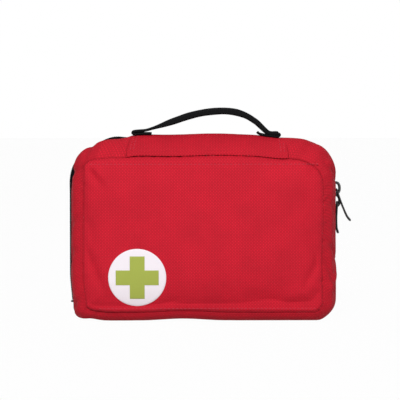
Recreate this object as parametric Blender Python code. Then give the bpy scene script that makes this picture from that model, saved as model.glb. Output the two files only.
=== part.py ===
"""First aid kit: a zipped two-shell fabric pouch with a carrying handle and its contents.

Metres, +Z up. The pouch stands on its bottom with its front towards -Y. The origin lies
on the underside, on the flat bottom of the back half, just behind the hinge line where
the two halves meet. Every size that can be set by itself is named here, once.
"""
import math

import bmesh
import bpy
import numpy as np

MM = 0.001

# Pouch
WIDTH = 216 * MM
HEIGHT = 149 * MM
FRONT_DEPTH = 42 * MM           # hinge line to the crown of the front panel
BACK_DEPTH = 34 * MM            # hinge line to the flat back
HINGE_Y = -4.15 * MM            # the zip plane and the hinge line lie here
HINGE_Z = -0.15 * MM            # the hinge axis, a hair under the bottom fabric
FABRIC = 1.5 * MM               # padded shell fabric
LINING = 0.8 * MM
TOP_RADIUS = 32 * MM
BOTTOM_RADIUS = 14 * MM
SEAM_TOP_RADIUS = 19 * MM
SEAM_BOTTOM_RADIUS = 11 * MM
FRONT_SIDE_INSET = 10.5 * MM    # how far the front seam stands in from the zip line
FRONT_TOP_INSET = 15 * MM
FRONT_BOTTOM_INSET = 7 * MM
BACK_SIDE_INSET = 6 * MM
BACK_TOP_INSET = 7 * MM
BACK_BOTTOM_INSET = 2.5 * MM
DOME = 2.6 * MM                 # crown of the front panel over its seam
SEWN_GAP = 0.3 * MM             # between two sewn or touching pieces
RUN_GAP = 0.3 * MM              # round the chain inside a slider

# Zip
ZIP_START = 15 * MM             # height where the chain begins on each side
GUSSET_EDGE = 10 * MM           # zip plane to the gusset's folded edge
CHAIN_SPLIT = 1.4 * MM          # free width between the two rows of teeth
COIL_WIDTH = 2.4 * MM
COIL_THICK = 2.1 * MM
COIL_INSET = 0.4 * MM
TAPE_THICK = 0.6 * MM
TAPE_INSET = 2.2 * MM
TAPE_HEM = 2.5 * MM             # tape that runs under the gusset's edge
STOP_HEIGHT = 1.6 * MM
STOP_DROP = 0.5 * MM

# Sliders and pull tabs
SLIDER_LENGTH = 10 * MM
SLIDER_WIDTH = 8.8 * MM
SLIDER_PLATE = 0.9 * MM
SLIDER_UP_TRAVEL = 6 * MM
POST_WIDTH = 0.8 * MM
POST_LENGTH = 2.4 * MM
BAIL_WIDTH = 2.2 * MM
BAIL_THICK = 0.9 * MM
BAIL_TOP = 4.4 * MM
BAIL_FOOT = 7.6 * MM
PULL_LENGTH = 26 * MM
PULL_WIDTH = 7.6 * MM
PULL_THICK = 1.2 * MM
PULL_BAR = 1.0 * MM             # round bar of the eye that runs under the bail
PULL_WINDOW = 6.6 * MM
PULL_DROP = 0.8 * MM            # the bar hangs this far under the bail's middle
UPPER_LEAN = math.radians(22)
LOWER_LEAN = math.radians(-2.5)

# Handle
PATCH_LEFT = -58.7 * MM
PATCH_RIGHT = 68 * MM
PATCH_THICK = 1.0 * MM
WEB_WIDTH = 16 * MM
WEB_THICK = 1.9 * MM
GRIP_THICK = 4.4 * MM           # webbing folded double along the grip
HANDLE_INSET = 0.6 * MM         # zip-side edge of the webbing from the gusset's edge
GRIP_CUT = 8.2 * MM             # height over the seat where the webbing starts to swing
FOLD_THICK = 3.3 * MM
LEFT_FOLD = (-57 * MM, -42 * MM)
RIGHT_FOLD = (44.6 * MM, 62.2 * MM)
HANDLE_ROUTE = ((-46, 2.4), (-39, 5.2), (-26, 9.6), (-12, 14.4), (2, 17.6), (18, 19.2),
                (31, 17.2), (41, 11.0), (49, 4.6), (54.5, 2.2))     # mm: x, over the seat

# Badge on the front panel
BADGE_DIAMETER = 46.5 * MM
BADGE_X = -52.8 * MM
BADGE_Z = 36.5 * MM
BADGE_THICK = 0.6 * MM
CROSS_SPAN = 34.4 * MM
CROSS_ARM = 11.9 * MM

# Inside
POCKET_MESH = 0.6 * MM
BACK_POCKET_TOP = 78 * MM
BINDING_HEIGHT = 8 * MM
BINDING_THICK = 1.0 * MM
SEAM_TAPE = 3.4 * MM
FRONT_POCKET_DEPTH = 8.4 * MM
HINGE_TAPE_REACH = 4.6 * MM
PACK_GAP = 1.0 * MM             # between neighbouring packs
FLOOR_GAP = 0.4 * MM
WIDE_ROLL_HEIGHT = 76 * MM
NARROW_ROLL_HEIGHT = 60 * MM
BLANKET_HEIGHT = 98 * MM
TRIANGLE_HEIGHT = 84 * MM
GAUZE_HEIGHT = 84 * MM
BURN_HEIGHT = 88 * MM
DRESSING_HEIGHT = 72 * MM
PACK_EDGE = 1.6 * MM            # edge taken off a soft packet
THIN_EDGE = 1.0 * MM
TAPE_ROLL = 46 * MM
TAPE_ROLL_WIDTH = 12.5 * MM
TAPE_CORE = 26 * MM
CORE_WALL = 1.4 * MM
SACHET_THICK = 1.8 * MM
SACHET_EDGE = 0.4 * MM
SACHET_STEP = 3 * MM            # each sachet stands this much above the one behind
GLOVES_PROUD = 3 * MM           # packs against the top of the front pocket
PLASTERS_UNDER = 8 * MM
SACHETS_UNDER = 12 * MM
BAND_HEIGHT = 16 * MM
BAND_DROP = 59 * MM             # top of the pouch to the middle of the elastic
BAND_HALF = 74 * MM
BAND_END = 6 * MM
BAND_LIFT = 5.2 * MM            # room under the elastic for the tools
FRONT_POCKET_DROP = 30 * MM     # elastic's middle to the top of the front pocket
BLADE_THICK = 1.5 * MM
BLADE_REACH = 46 * MM
SHANK_REACH = 34 * MM
LOOP_RADIUS = 10.5 * MM
LOOP_BAR = 2.6 * MM
SCREW_RADIUS = 2.0 * MM
SCREW_HEAD = 3.6 * MM
TWEEZER_LENGTH = 84 * MM
TWEEZER_WIDTH = 6 * MM
TWEEZER_STEEL = 0.9 * MM
TWEEZER_OPEN = 2.4 * MM
TWEEZER_BEND = 6 * MM
TWEEZER_RISE = 11 * MM          # tweezers above the elastic

# Facets
ARC_STEPS = 5
LONG_STEPS = 4
SIDE_STEPS = 3
FRONT_STATIONS = (0.0, 0.30, 0.55, 0.74, 0.88, 1.0)
BACK_STATIONS = (0.0, 0.5, 0.8, 1.0)
DOME_RINGS = (1.0, 0.93, 0.78, 0.55, 0.28)

# Places that follow from the sizes above
SEAM_FRONT = HINGE_Y - FRONT_DEPTH + DOME + FABRIC      # front panel's inner face at its rim
SEAM_BACK = HINGE_Y + BACK_DEPTH - FABRIC
FRONT_LINING_Y = SEAM_FRONT + SEWN_GAP + LINING
BACK_LINING_Y = SEAM_BACK - SEWN_GAP - LINING
CHAIN_FACE = WIDTH / 2 - COIL_INSET
STRAIGHT_TOP = HEIGHT - TOP_RADIUS
SLIDERS_MEET = STRAIGHT_TOP - SLIDER_UP_TRAVEL - SLIDER_LENGTH - SEWN_GAP / 2
BAND_Z = HEIGHT - BAND_DROP
FRONT_POCKET_TOP = BAND_Z - FRONT_POCKET_DROP
HANDLE_SEAT = HEIGHT + SEWN_GAP + PATCH_THICK + SEWN_GAP
HANDLE_Y = HINGE_Y - GUSSET_EDGE - HANDLE_INSET - WEB_WIDTH / 2


# ---------------------------------------------------------------- materials and meshes

def linear(hex_colour):
    """An sRGB hex colour as linear RGBA."""
    parts = [int(hex_colour[i:i + 2], 16) / 255 for i in (0, 2, 4)]
    return [c / 12.92 if c <= 0.04045 else ((c + 0.055) / 1.055) ** 2.4 for c in parts] + [1.0]


FINISHES = {
    "shell": ("C32231", 0.75, 0.0), "shell_panel": ("C92534", 0.75, 0.0),
    "webbing": ("17171A", 0.8, 0.0), "coil": ("1B1B1D", 0.45, 0.0),
    "slider": ("26272A", 0.35, 0.6), "badge": ("F3EEF2", 0.7, 0.0),
    "cross": ("9DAA4A", 0.7, 0.0), "lining": ("5B5D60", 0.85, 0.0),
    "mesh": ("3A3B3E", 0.9, 0.0), "steel": ("B9BCC0", 0.3, 1.0),
    "paper": ("E7E6E0", 0.8, 0.0), "foil": ("C9B26A", 0.3, 0.8),
    "gauze": ("F0EEE6", 0.9, 0.0), "card": ("D9D3C2", 0.8, 0.0),
}


def material(name, finish):
    """A Principled material of its own for one piece."""
    colour, roughness, metallic = FINISHES[finish]
    made = bpy.data.materials.new(name + "_finish")
    made.use_nodes = True
    shader = made.node_tree.nodes["Principled BSDF"]
    shader.inputs["Base Color"].default_value = linear(colour)
    shader.inputs["Roughness"].default_value = roughness
    shader.inputs["Metallic"].default_value = metallic
    return made


def add_piece(name, bm, finish, smooth=None):
    """Turn a bmesh into a named object with outward faces; smooth is a crease angle."""
    bmesh.ops.recalc_face_normals(bm, faces=bm.faces)
    mesh = bpy.data.meshes.new(name)
    bm.to_mesh(mesh)
    bm.free()
    piece = bpy.data.objects.new(name, mesh)
    bpy.context.collection.objects.link(piece)
    mesh.materials.append(material(name, finish))
    if smooth is not None:
        mesh.shade_smooth()
        mesh.set_sharp_from_angle(angle=math.radians(smooth))
    return piece


def combine(target, tool, operation):
    """Boolean a tool into a target and remove the tool."""
    cut = target.modifiers.new("cut", "BOOLEAN")
    cut.operation = operation
    cut.solver = "EXACT"
    cut.object = tool
    bpy.context.view_layer.update()
    shape = target.evaluated_get(bpy.context.evaluated_depsgraph_get())
    mesh = bpy.data.meshes.new_from_object(shape)
    target.modifiers.clear()
    old = target.data
    target.data = mesh
    bpy.data.meshes.remove(old)
    bpy.data.objects.remove(tool)
    return target


def sweep(name, sections, finish, closed=False, smooth=None):
    """Join equal sections into one solid: a loop when closed, else capped at both ends."""
    bm = bmesh.new()
    rows = [[bm.verts.new(p) for p in section] for section in sections]
    count = len(rows[0])
    last = len(rows) if closed else len(rows) - 1
    for i in range(last):
        here, there = rows[i], rows[(i + 1) % len(rows)]
        for j in range(count):
            k = (j + 1) % count
            bm.faces.new((here[j], here[k], there[k], there[j]))
    if not closed:
        bm.faces.new(rows[0])
        bm.faces.new(rows[-1])
    return add_piece(name, bm, finish, smooth)


def prism_y(name, outline, y_low, y_high, finish, smooth=None):
    """An outline of (x, z) points given thickness along Y."""
    sections = [[(x, y, z) for x, z in outline] for y in (y_low, y_high)]
    return sweep(name, sections, finish, smooth=smooth)


def box(name, low, high, finish):
    """A plain box between two corners."""
    outline = ((low[0], low[2]), (high[0], low[2]), (high[0], high[2]), (low[0], high[2]))
    return prism_y(name, outline, low[1], high[1], finish)


def soft_box(name, low, high, edge, finish):
    """A packet: a box whose edges are taken off."""
    piece = box(name, low, high, finish)
    bm = bmesh.new()
    bm.from_mesh(piece.data)
    bmesh.ops.bevel(bm, geom=bm.edges, offset=edge, segments=1, affect="EDGES")
    bm.to_mesh(piece.data)
    bm.free()
    return piece


def circle(centre_x, centre_z, radius, steps=24):
    """Points of a circle in the XZ plane."""
    turns = np.arange(steps) * (2 * math.pi / steps)
    return [(centre_x + radius * math.cos(a), centre_z + radius * math.sin(a)) for a in turns]


def ring_y(name, centre_x, centre_z, outer, inner, y_low, y_high, finish, steps=24):
    """A flat ring with its axis along Y."""
    out, inn = circle(centre_x, centre_z, outer, steps), circle(centre_x, centre_z, inner, steps)
    sections = [[(xo, y_low, zo), (xo, y_high, zo), (xi, y_high, zi), (xi, y_low, zi)]
                for (xo, zo), (xi, zi) in zip(out, inn)]
    return sweep(name, sections, finish, closed=True, smooth=40)


# ---------------------------------------------------------------- shape of the pouch

def outline_pattern():
    """Corner pair, share between them and outward normal of each point, anticlockwise.

    Corners run lower right, upper right, upper left, lower left; each gives an arc, and
    the run to the next corner gives evenly spaced points.
    """
    pattern = []
    for corner in range(4):
        start = corner * 90 - 90
        for step in range(ARC_STEPS + 1):
            pattern.append((corner, corner, 0.0, start + 90 * step / ARC_STEPS))
        runs = LONG_STEPS if corner % 2 else SIDE_STEPS
        for step in range(1, runs):
            pattern.append((corner, (corner + 1) % 4, step / runs, start + 90))
    return pattern


PATTERN = outline_pattern()


def rounded(half_width, low, high, low_radius, high_radius):
    """A rectangle with rounded corners as (x, z) points that follow PATTERN."""
    centres = ((half_width - low_radius, low + low_radius),
               (half_width - high_radius, high - high_radius),
               (-half_width + high_radius, high - high_radius),
               (-half_width + low_radius, low + low_radius))
    radii = (low_radius, high_radius, high_radius, low_radius)
    points = []
    for a, b, share, degrees in PATTERN:
        angle = math.radians(degrees)
        radius = radii[a] * (1 - share) + radii[b] * share
        x = centres[a][0] * (1 - share) + centres[b][0] * share + radius * math.cos(angle)
        z = centres[a][1] * (1 - share) + centres[b][1] * share + radius * math.sin(angle)
        points.append((x, z))
    return points


def ease(share, start, power):
    """0 up to start, then a power curve that reaches 1 at share 1."""
    return max(0.0, (share - start) / (1 - start)) ** power


def breaks():
    """Depths at which the shell's profile bends; it runs straight between them."""
    depths = [HINGE_Y]
    for edge, seam, stations in ((HINGE_Y - GUSSET_EDGE, SEAM_FRONT, FRONT_STATIONS),
                                 (HINGE_Y + GUSSET_EDGE, SEAM_BACK, BACK_STATIONS)):
        depths += [edge + (seam - edge) * share for share in stations]
    return sorted(depths)


BREAKS = breaks()


def shell_sizes(y):
    """Half width, bottom, top and the two corner radii of the pouch at one depth."""
    if y < HINGE_Y:
        share = min(1.0, (HINGE_Y - y) / (HINGE_Y - SEAM_FRONT))
        side = FRONT_SIDE_INSET * ease(share, 0.28, 1.8)
        top = FRONT_TOP_INSET * ease(share, 0.60, 1.7)
        bottom = FRONT_BOTTOM_INSET * ease(share, 0.66, 2.0)
    else:
        share = min(1.0, (y - HINGE_Y) / (SEAM_BACK - HINGE_Y))
        side = BACK_SIDE_INSET * ease(share, 0.42, 2.0)
        top = BACK_TOP_INSET * ease(share, 0.42, 2.0)
        bottom = BACK_BOTTOM_INSET * ease(share, 0.75, 2.0)
    turn = ease(share, 0.3, 1.0)
    high_radius = TOP_RADIUS + (SEAM_TOP_RADIUS - TOP_RADIUS) * turn
    low_radius = BOTTOM_RADIUS + (SEAM_BOTTOM_RADIUS - BOTTOM_RADIUS) * turn
    return np.array((WIDTH / 2 - side, bottom, HEIGHT - top, low_radius, high_radius))


def shell_outline(y, inset=0.0):
    """The pouch's outline at one depth, drawn in by inset."""
    after = min(len(BREAKS) - 1, max(1, int(np.searchsorted(BREAKS, y))))
    near, far = BREAKS[after - 1], BREAKS[after]
    share = min(1.0, max(0.0, (y - near) / (far - near)))
    sizes = shell_sizes(near) * (1 - share) + shell_sizes(far) * share
    half_width, low, high, low_radius, high_radius = sizes
    return rounded(half_width - inset, low + inset, high - inset,
                   low_radius - inset, high_radius - inset)


def shell_top(y):
    """Height of the pouch's top at one depth."""
    return max(z for _, z in shell_outline(y))


def clip_below(outline, height):
    """The part of a convex outline below a height."""
    kept = []
    for (xa, za), (xb, zb) in zip(outline, outline[1:] + outline[:1]):
        if za <= height:
            kept.append((xa, za))
        if (za <= height) != (zb <= height):
            share = (height - za) / (zb - za)
            kept.append((xa + (xb - xa) * share, height))
    return kept


def gusset(name, side_edge, hinge_edge, seam, stations):
    """The side wall of one half: a closed band from its zip edge to its panel seam.

    Along the bottom the band runs on to the hinge line; round the lower corners its
    edge steps back to leave the zip free.
    """
    sections = []
    for index, (corner, _, _, degrees) in enumerate(PATTERN):
        lower = corner in (0, 3)
        on_bottom = lower and (abs(degrees % 360 - 270) < 62)
        depths = [side_edge + (seam - side_edge) * share for share in stations]
        extra = hinge_edge if on_bottom else (depths[0] + depths[1]) / 2
        depths = sorted(depths + [extra], key=lambda y: abs(y - HINGE_Y))
        outer = [(shell_outline(y)[index], y) for y in depths]
        inner = [(shell_outline(y, FABRIC)[index], y) for y in reversed(depths)]
        sections.append([(x, y, z) for (x, z), y in outer + inner])
    return sweep(name, sections, "shell", closed=True, smooth=50)


def panel_face(x, z):
    """Y of the front panel's outer face: a crown that dies out at its seam."""
    rim = shell_outline(SEAM_FRONT)
    half = max(px for px, _ in rim)
    low, high = min(pz for _, pz in rim), max(pz for _, pz in rim)
    across = 1 - min(1.0, abs(x) / half) ** 4
    upright = 1 - min(1.0, abs(z - (low + high) / 2) / ((high - low) / 2)) ** 4
    return SEAM_FRONT - SEWN_GAP - FABRIC - (DOME - SEWN_GAP) * across * upright


def crowned(name, outline, centre, thickness, lift, finish):
    """A plate that follows the crown of the front panel, lift in front of it."""
    bm = bmesh.new()
    cx, cz = centre
    faces = []
    for side in (lift + thickness, lift):
        rings = []
        for share in DOME_RINGS:
            ring = [(cx + (x - cx) * share, cz + (z - cz) * share) for x, z in outline]
            rings.append([bm.verts.new((x, panel_face(x, z) - side, z)) for x, z in ring])
        middle = bm.verts.new((cx, panel_face(cx, cz) - side, cz))
        faces.append((rings, middle))
    count = len(outline)
    for rings, middle in faces:
        for j in range(count):
            k = (j + 1) % count
            for a, b in zip(rings, rings[1:]):
                bm.faces.new((a[j], a[k], b[k], b[j]))
            bm.faces.new((rings[-1][j], rings[-1][k], middle))
    front_rim, back_rim = faces[0][0][0], faces[1][0][0]
    for j in range(count):
        k = (j + 1) % count
        bm.faces.new((front_rim[j], front_rim[k], back_rim[k], back_rim[j]))
    return add_piece(name, bm, finish, 40)


def seam_tape(name, y_seam, direction):
    """Binding sewn over the raw seam inside a half, one loop round the corner."""
    near, far = y_seam, y_seam + direction * SEAM_TAPE
    inner = FABRIC + SEWN_GAP
    rings = [shell_outline(near, inner), shell_outline(far, inner),
             shell_outline(far, inner + LINING), shell_outline(near, inner + LINING)]
    depths = (near, far, far, near)
    sections = [[(ring[i][0], y, ring[i][1]) for ring, y in zip(rings, depths)]
                for i in range(len(PATTERN))]
    return sweep(name, sections, "webbing", closed=True, smooth=50)


def shells():
    """Both gussets, the front and back panels, their linings and seam tapes."""
    front_edge, back_edge = HINGE_Y - GUSSET_EDGE, HINGE_Y + GUSSET_EDGE
    half_gap = SEWN_GAP / 2
    gusset("front_gusset", front_edge, HINGE_Y - half_gap, SEAM_FRONT, FRONT_STATIONS)
    gusset("back_gusset", back_edge, HINGE_Y + half_gap, SEAM_BACK - SEWN_GAP, BACK_STATIONS)
    rim = shell_outline(SEAM_FRONT)
    middle = (0.0, (rim[0][1] + shell_top(SEAM_FRONT)) / 2)
    crowned("front_panel", rim, middle, FABRIC, -FABRIC, "shell_panel")
    prism_y("back_panel", shell_outline(SEAM_BACK), SEAM_BACK, SEAM_BACK + FABRIC, "shell", 40)
    prism_y("front_lining", shell_outline(SEAM_FRONT, FABRIC + SEWN_GAP),
            SEAM_FRONT + SEWN_GAP, FRONT_LINING_Y, "lining", 40)
    prism_y("back_lining", shell_outline(SEAM_BACK, FABRIC + SEWN_GAP),
            BACK_LINING_Y, SEAM_BACK - SEWN_GAP, "lining", 40)
    seam_tape("front_seam_tape", FRONT_LINING_Y + SEWN_GAP, 1)
    seam_tape("back_seam_tape", BACK_LINING_Y - SEWN_GAP, -1)


# ---------------------------------------------------------------- zip

def zip_path(inset):
    """Path of the zip at an inset from the outline: up one side, over, down the other."""
    ring = shell_outline(HINGE_Y, inset)
    first = ARC_STEPS + 1
    last = len(PATTERN) - (ARC_STEPS + 1) - (LONG_STEPS - 1)
    run = [p for p in ring[first:last] if p[1] > ZIP_START]
    half = WIDTH / 2 - inset
    return [(half, ZIP_START)] + run + [(-half, ZIP_START)]


def zip_strip(name, inset, thickness, y_low, y_high, finish):
    """One strip of the zip swept along its path."""
    outer, inner = zip_path(inset), zip_path(inset + thickness)
    sections = [[(xo, y_low, zo), (xo, y_high, zo), (xi, y_high, zi), (xi, y_low, zi)]
                for (xo, zo), (xi, zi) in zip(outer, inner)]
    return sweep(name, sections, finish, smooth=50)


def zipper():
    """Tape and coil of each half, and the stop at each end of the chain."""
    coil_near = CHAIN_SPLIT / 2
    coil_far = coil_near + COIL_WIDTH
    tape_near = coil_far + SEWN_GAP
    tape_far = GUSSET_EDGE + TAPE_HEM
    for half, side in (("front", -1), ("back", 1)):
        tape = sorted(HINGE_Y + side * d for d in (tape_near, tape_far))
        coil = sorted(HINGE_Y + side * d for d in (coil_near, coil_far))
        zip_strip(half + "_zip_tape", TAPE_INSET, TAPE_THICK, *tape, "webbing")
        zip_strip(half + "_zip_coil", COIL_INSET, COIL_THICK, *coil, "coil")
    top = ZIP_START - STOP_DROP
    for name, side in (("left", -1), ("right", 1)):
        x_low, x_high = sorted(side * (WIDTH / 2 - d) for d in (COIL_INSET, TAPE_INSET + TAPE_THICK))
        box("zip_stop_" + name, (x_low, HINGE_Y - coil_far, top - STOP_HEIGHT),
            (x_high, HINGE_Y + coil_far, top), "slider")


def slider(name, z_low, post_low):
    """A slider: outer and inner plate, the post between the tapes and the bail."""
    inner_face = WIDTH / 2 - TAPE_INSET - TAPE_THICK - RUN_GAP
    outer_face = CHAIN_FACE + RUN_GAP
    top_face = outer_face + SLIDER_PLATE
    half = SLIDER_WIDTH / 2
    z_high = z_low + SLIDER_LENGTH
    body = box(name, (outer_face, HINGE_Y - half, z_low), (top_face, HINGE_Y + half, z_high),
               "slider")
    under = box(name + "_under", (inner_face - SLIDER_PLATE, HINGE_Y - half, z_low),
                (inner_face, HINGE_Y + half, z_high), "slider")
    post = box(name + "_post", (inner_face - SLIDER_PLATE / 2, HINGE_Y - POST_WIDTH / 2, post_low),
               (outer_face + SLIDER_PLATE / 2, HINGE_Y + POST_WIDTH / 2, post_low + POST_LENGTH),
               "slider")
    combine(body, post, "UNION")
    combine(body, under, "UNION")
    combine(body, bail(name + "_bail", top_face, (z_low + z_high) / 2), "UNION")
    body.data.materials.clear()
    body.data.materials.append(material(name, "slider"))
    return body


def bail_rise():
    """Height of the bail's underside over the slider plate."""
    return pivot_rise() + PULL_BAR / 2 + RUN_GAP


def pivot_rise():
    """Height of the pull's bar over the slider plate."""
    return PULL_THICK / 2 + RUN_GAP + RUN_GAP / 5


def bail(name, face, middle):
    """The bridge over the pull's bar: a low arch with sloping legs."""
    under, rise = bail_rise(), bail_rise() + BAIL_THICK
    foot, top = BAIL_FOOT / 2, BAIL_TOP / 2
    root = -SLIDER_PLATE / 2
    arch = ((-foot, root), (-top, rise), (top, rise), (foot, root),
            (foot - BAIL_THICK * 1.4, root), (top - BAIL_THICK * 0.6, under),
            (-top + BAIL_THICK * 0.6, under), (-foot + BAIL_THICK * 1.4, root))
    outline = [(face + x, middle + z) for z, x in arch]
    half = BAIL_WIDTH / 2
    return prism_y(name, outline, HINGE_Y - half, HINGE_Y + half, "slider")


def pull(name, pivot_z, lean):
    """A flat pull tab on its bar, modelled hanging from the bar and then leaned out."""
    half, thick = PULL_WIDTH / 2, PULL_THICK / 2
    turns = [math.radians(a) for a in (0, 45, 90, 135, 180)]
    end = [(thick * math.cos(a), thick * math.sin(a)) for a in turns]
    outline = end + [(-thick, -PULL_LENGTH), (thick, -PULL_LENGTH)]
    tab = prism_y(name, outline, -half, half, "webbing")
    window_half = BAIL_WIDTH / 2 + SEWN_GAP + RUN_GAP / 2
    window = box(name + "_window", (-2 * thick, -window_half, -PULL_WINDOW),
                 (2 * thick, window_half, -PULL_BAR / 2), "webbing")
    combine(tab, window, "DIFFERENCE")
    tab.data.materials.clear()
    tab.data.materials.append(material(name, "webbing"))
    tab.location = (CHAIN_FACE + RUN_GAP + SLIDER_PLATE + pivot_rise(), HINGE_Y, pivot_z)
    tab.rotation_euler = (0, -lean, 0)
    return tab


def sliders():
    """Two sliders that meet head to head on the right side, each with its pull."""
    gap = SEWN_GAP / 2
    slider("upper_slider", SLIDERS_MEET + gap, SLIDERS_MEET + gap)
    slider("lower_slider", SLIDERS_MEET - gap - SLIDER_LENGTH, SLIDERS_MEET - gap - POST_LENGTH)
    middle = gap + SLIDER_LENGTH / 2
    pull("upper_pull", SLIDERS_MEET + middle - PULL_DROP, UPPER_LEAN)
    pull("lower_pull", SLIDERS_MEET - middle - PULL_DROP, LOWER_LEAN)


# ---------------------------------------------------------------- handle and badge

def handle_patch():
    """The doubled fabric under the handle, laid over the top of the front gusset."""
    edge = HINGE_Y - GUSSET_EDGE
    depths = [edge + (SEAM_FRONT - edge) * share for share in FRONT_STATIONS]
    low = [(y, shell_top(y) + SEWN_GAP) for y in depths]
    high = [(y, z + PATCH_THICK) for y, z in reversed(low)]
    sections = [[(x, y, z) for y, z in low + high] for x in (PATCH_LEFT, PATCH_RIGHT)]
    sweep("handle_patch", sections, "shell")


def handle_curve(steps=44):
    """Smooth middle line of the webbing as (x, z) through HANDLE_ROUTE (Catmull-Rom)."""
    knots = [(x * MM, HANDLE_SEAT + z * MM) for x, z in HANDLE_ROUTE]
    ends = [knots[0]] + knots + [knots[-1]]
    points = []
    for step in range(steps + 1):
        place = step / steps * (len(knots) - 1)
        i = min(int(place), len(knots) - 2)
        t = place - i
        a, b, c, d = (np.array(ends[i + k]) for k in range(4))
        points.append(0.5 * (2 * b + (c - a) * t + (2 * a - 5 * b + 4 * c - d) * t ** 2
                             + (3 * b - a - 3 * c + d) * t ** 3))
    return points


def web_thickness(share):
    """Single webbing at the ends, folded double along the middle of the grip."""
    rise = min(1.0, max(0.0, (share - 0.22) / 0.12), max(0.0, (0.84 - share) / 0.08))
    return WEB_THICK + (GRIP_THICK - WEB_THICK) * rise


def web_run(name, points, shares, upright):
    """A flat strip of webbing along a run of (x, z) points.

    Sections stand square to the run, but those in upright stand square to X.
    """
    low, high = HANDLE_Y - WEB_WIDTH / 2, HANDLE_Y + WEB_WIDTH / 2
    sections = []
    for i, ((x, z), share) in enumerate(zip(points, shares)):
        before, after = points[max(0, i - 1)], points[min(len(points) - 1, i + 1)]
        run = after - before
        nx, nz = -run[1] / np.hypot(*run), run[0] / np.hypot(*run)
        if i in upright:
            nx, nz = 0.0, 1 / nz
        half = web_thickness(share) / 2
        sections.append([(x - nx * half, low, z - nz * half), (x - nx * half, high, z - nz * half),
                         (x + nx * half, high, z + nz * half), (x + nx * half, low, z + nz * half)])
    return sweep(name, sections, "webbing", smooth=50)


def crossing(points, height, ends):
    """X and share along the run where it crosses a height, from either end."""
    order = range(1, len(points)) if ends == "left" else range(len(points) - 1, 0, -1)
    for i in order:
        (xa, za), (xb, zb) = points[i - 1], points[i]
        if (za - height) * (zb - height) <= 0:
            share = (height - za) / (zb - za)
            return xa + (xb - xa) * share, (i - 1 + share) / (len(points) - 1)
    raise ValueError("the handle never reaches the cut")


def handle():
    """The swinging grip, and the two folded ends that are sewn to the patch.

    The cuts between them are planes across X, so the grip can swing about X beside
    the ends; no section stands so near a cut that its slant would cross it.
    """
    points = handle_curve()
    shares = [i / (len(points) - 1) for i in range(len(points))]
    cut = HANDLE_SEAT + GRIP_CUT
    (left_x, left_share), (right_x, right_share) = (crossing(points, cut, side)
                                                    for side in ("left", "right"))
    half, clear = SEWN_GAP / 2, GRIP_THICK * 0.7
    run = list(zip(points, shares))
    grip = [(np.array((left_x + half, cut)), left_share)]
    grip += [(p, s) for p, s in run if left_x + clear < p[0] < right_x - clear]
    grip += [(np.array((right_x - half, cut)), right_share)]
    web_run("handle_strap", *zip(*grip), (0, len(grip) - 1))
    left_rise = [(p, s) for p, s in run if p[0] < left_x - clear]
    left_rise += [(np.array((left_x - half, cut)), left_share)]
    right_rise = [(np.array((right_x + half, cut)), right_share)]
    right_rise += [(p, s) for p, s in run if p[0] > right_x + clear]
    low, high = HANDLE_Y - WEB_WIDTH / 2, HANDLE_Y + WEB_WIDTH / 2
    for side, fold, rise_run, last in (("left", LEFT_FOLD, left_rise, len(left_rise) - 1),
                                       ("right", RIGHT_FOLD, right_rise, 0)):
        name = "handle_end_" + side
        end = soft_box(name, (fold[0], low, HANDLE_SEAT), (fold[1], high, HANDLE_SEAT + FOLD_THICK),
                       WEB_THICK / 4, "webbing")
        rise = web_run(name + "_rise", *zip(*rise_run), (last,))
        squeeze = (WEB_WIDTH - SEWN_GAP) / WEB_WIDTH
        for vertex in rise.data.vertices:
            vertex.co.y = HANDLE_Y + (vertex.co.y - HANDLE_Y) * squeeze
        combine(end, rise, "UNION")
        end.data.materials.clear()
        end.data.materials.append(material(name, "webbing"))


def badge():
    """A plain white disc with a green cross on the front panel."""
    disc = circle(BADGE_X, BADGE_Z, BADGE_DIAMETER / 2, 36)
    crowned("badge_disc", disc, (BADGE_X, BADGE_Z), BADGE_THICK, SEWN_GAP, "badge")
    span, arm = CROSS_SPAN / 2, CROSS_ARM / 2
    quarter = ((span, -arm), (span, arm), (arm, arm))
    cross = []
    for turn in range(4):
        c, s = round(math.cos(turn * math.pi / 2)), round(math.sin(turn * math.pi / 2))
        cross += [(BADGE_X + x * c - z * s, BADGE_Z + x * s + z * c) for x, z in quarter]
    lift = SEWN_GAP + BADGE_THICK + SEWN_GAP
    crowned("badge_cross", cross, (BADGE_X, BADGE_Z), BADGE_THICK, lift, "cross")


# ---------------------------------------------------------------- pockets and hinge

def pocket(half, y_low, deep, inset, top):
    """An open-topped mesh pocket across a half, with an elastic binding along its top."""
    y_high = y_low + POCKET_MESH
    panel = clip_below(shell_outline(deep, inset), top)
    prism_y(half + "_pocket_mesh", panel, y_low, y_high, "mesh")
    wide = max(x for x, _ in panel)
    spare = (BINDING_THICK - POCKET_MESH) / 2
    box(half + "_pocket_binding", (-wide, y_low - spare, top + SEWN_GAP),
        (wide, y_high + spare, top + SEWN_GAP + BINDING_HEIGHT), "webbing")


def hinge_tape():
    """Grosgrain ribbon sewn across the inside of the bottom, over the hinge line."""
    half = WIDTH / 2 - BOTTOM_RADIUS
    low = FABRIC + SEWN_GAP
    box("hinge_tape", (-half, HINGE_Y - HINGE_TAPE_REACH, low),
        (half, HINGE_Y + HINGE_TAPE_REACH - SEWN_GAP, low + TAPE_THICK), "webbing")


# ---------------------------------------------------------------- contents of the back half

def columns(low, high, shares):
    """Split a width into neighbouring columns by shares, with PACK_GAP between them."""
    free = high - low - PACK_GAP * (len(shares) - 1)
    edges, start = [], low
    for share in shares:
        width = free * share / sum(shares)
        edges.append((start, start + width))
        start += width + PACK_GAP
    return edges


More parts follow.
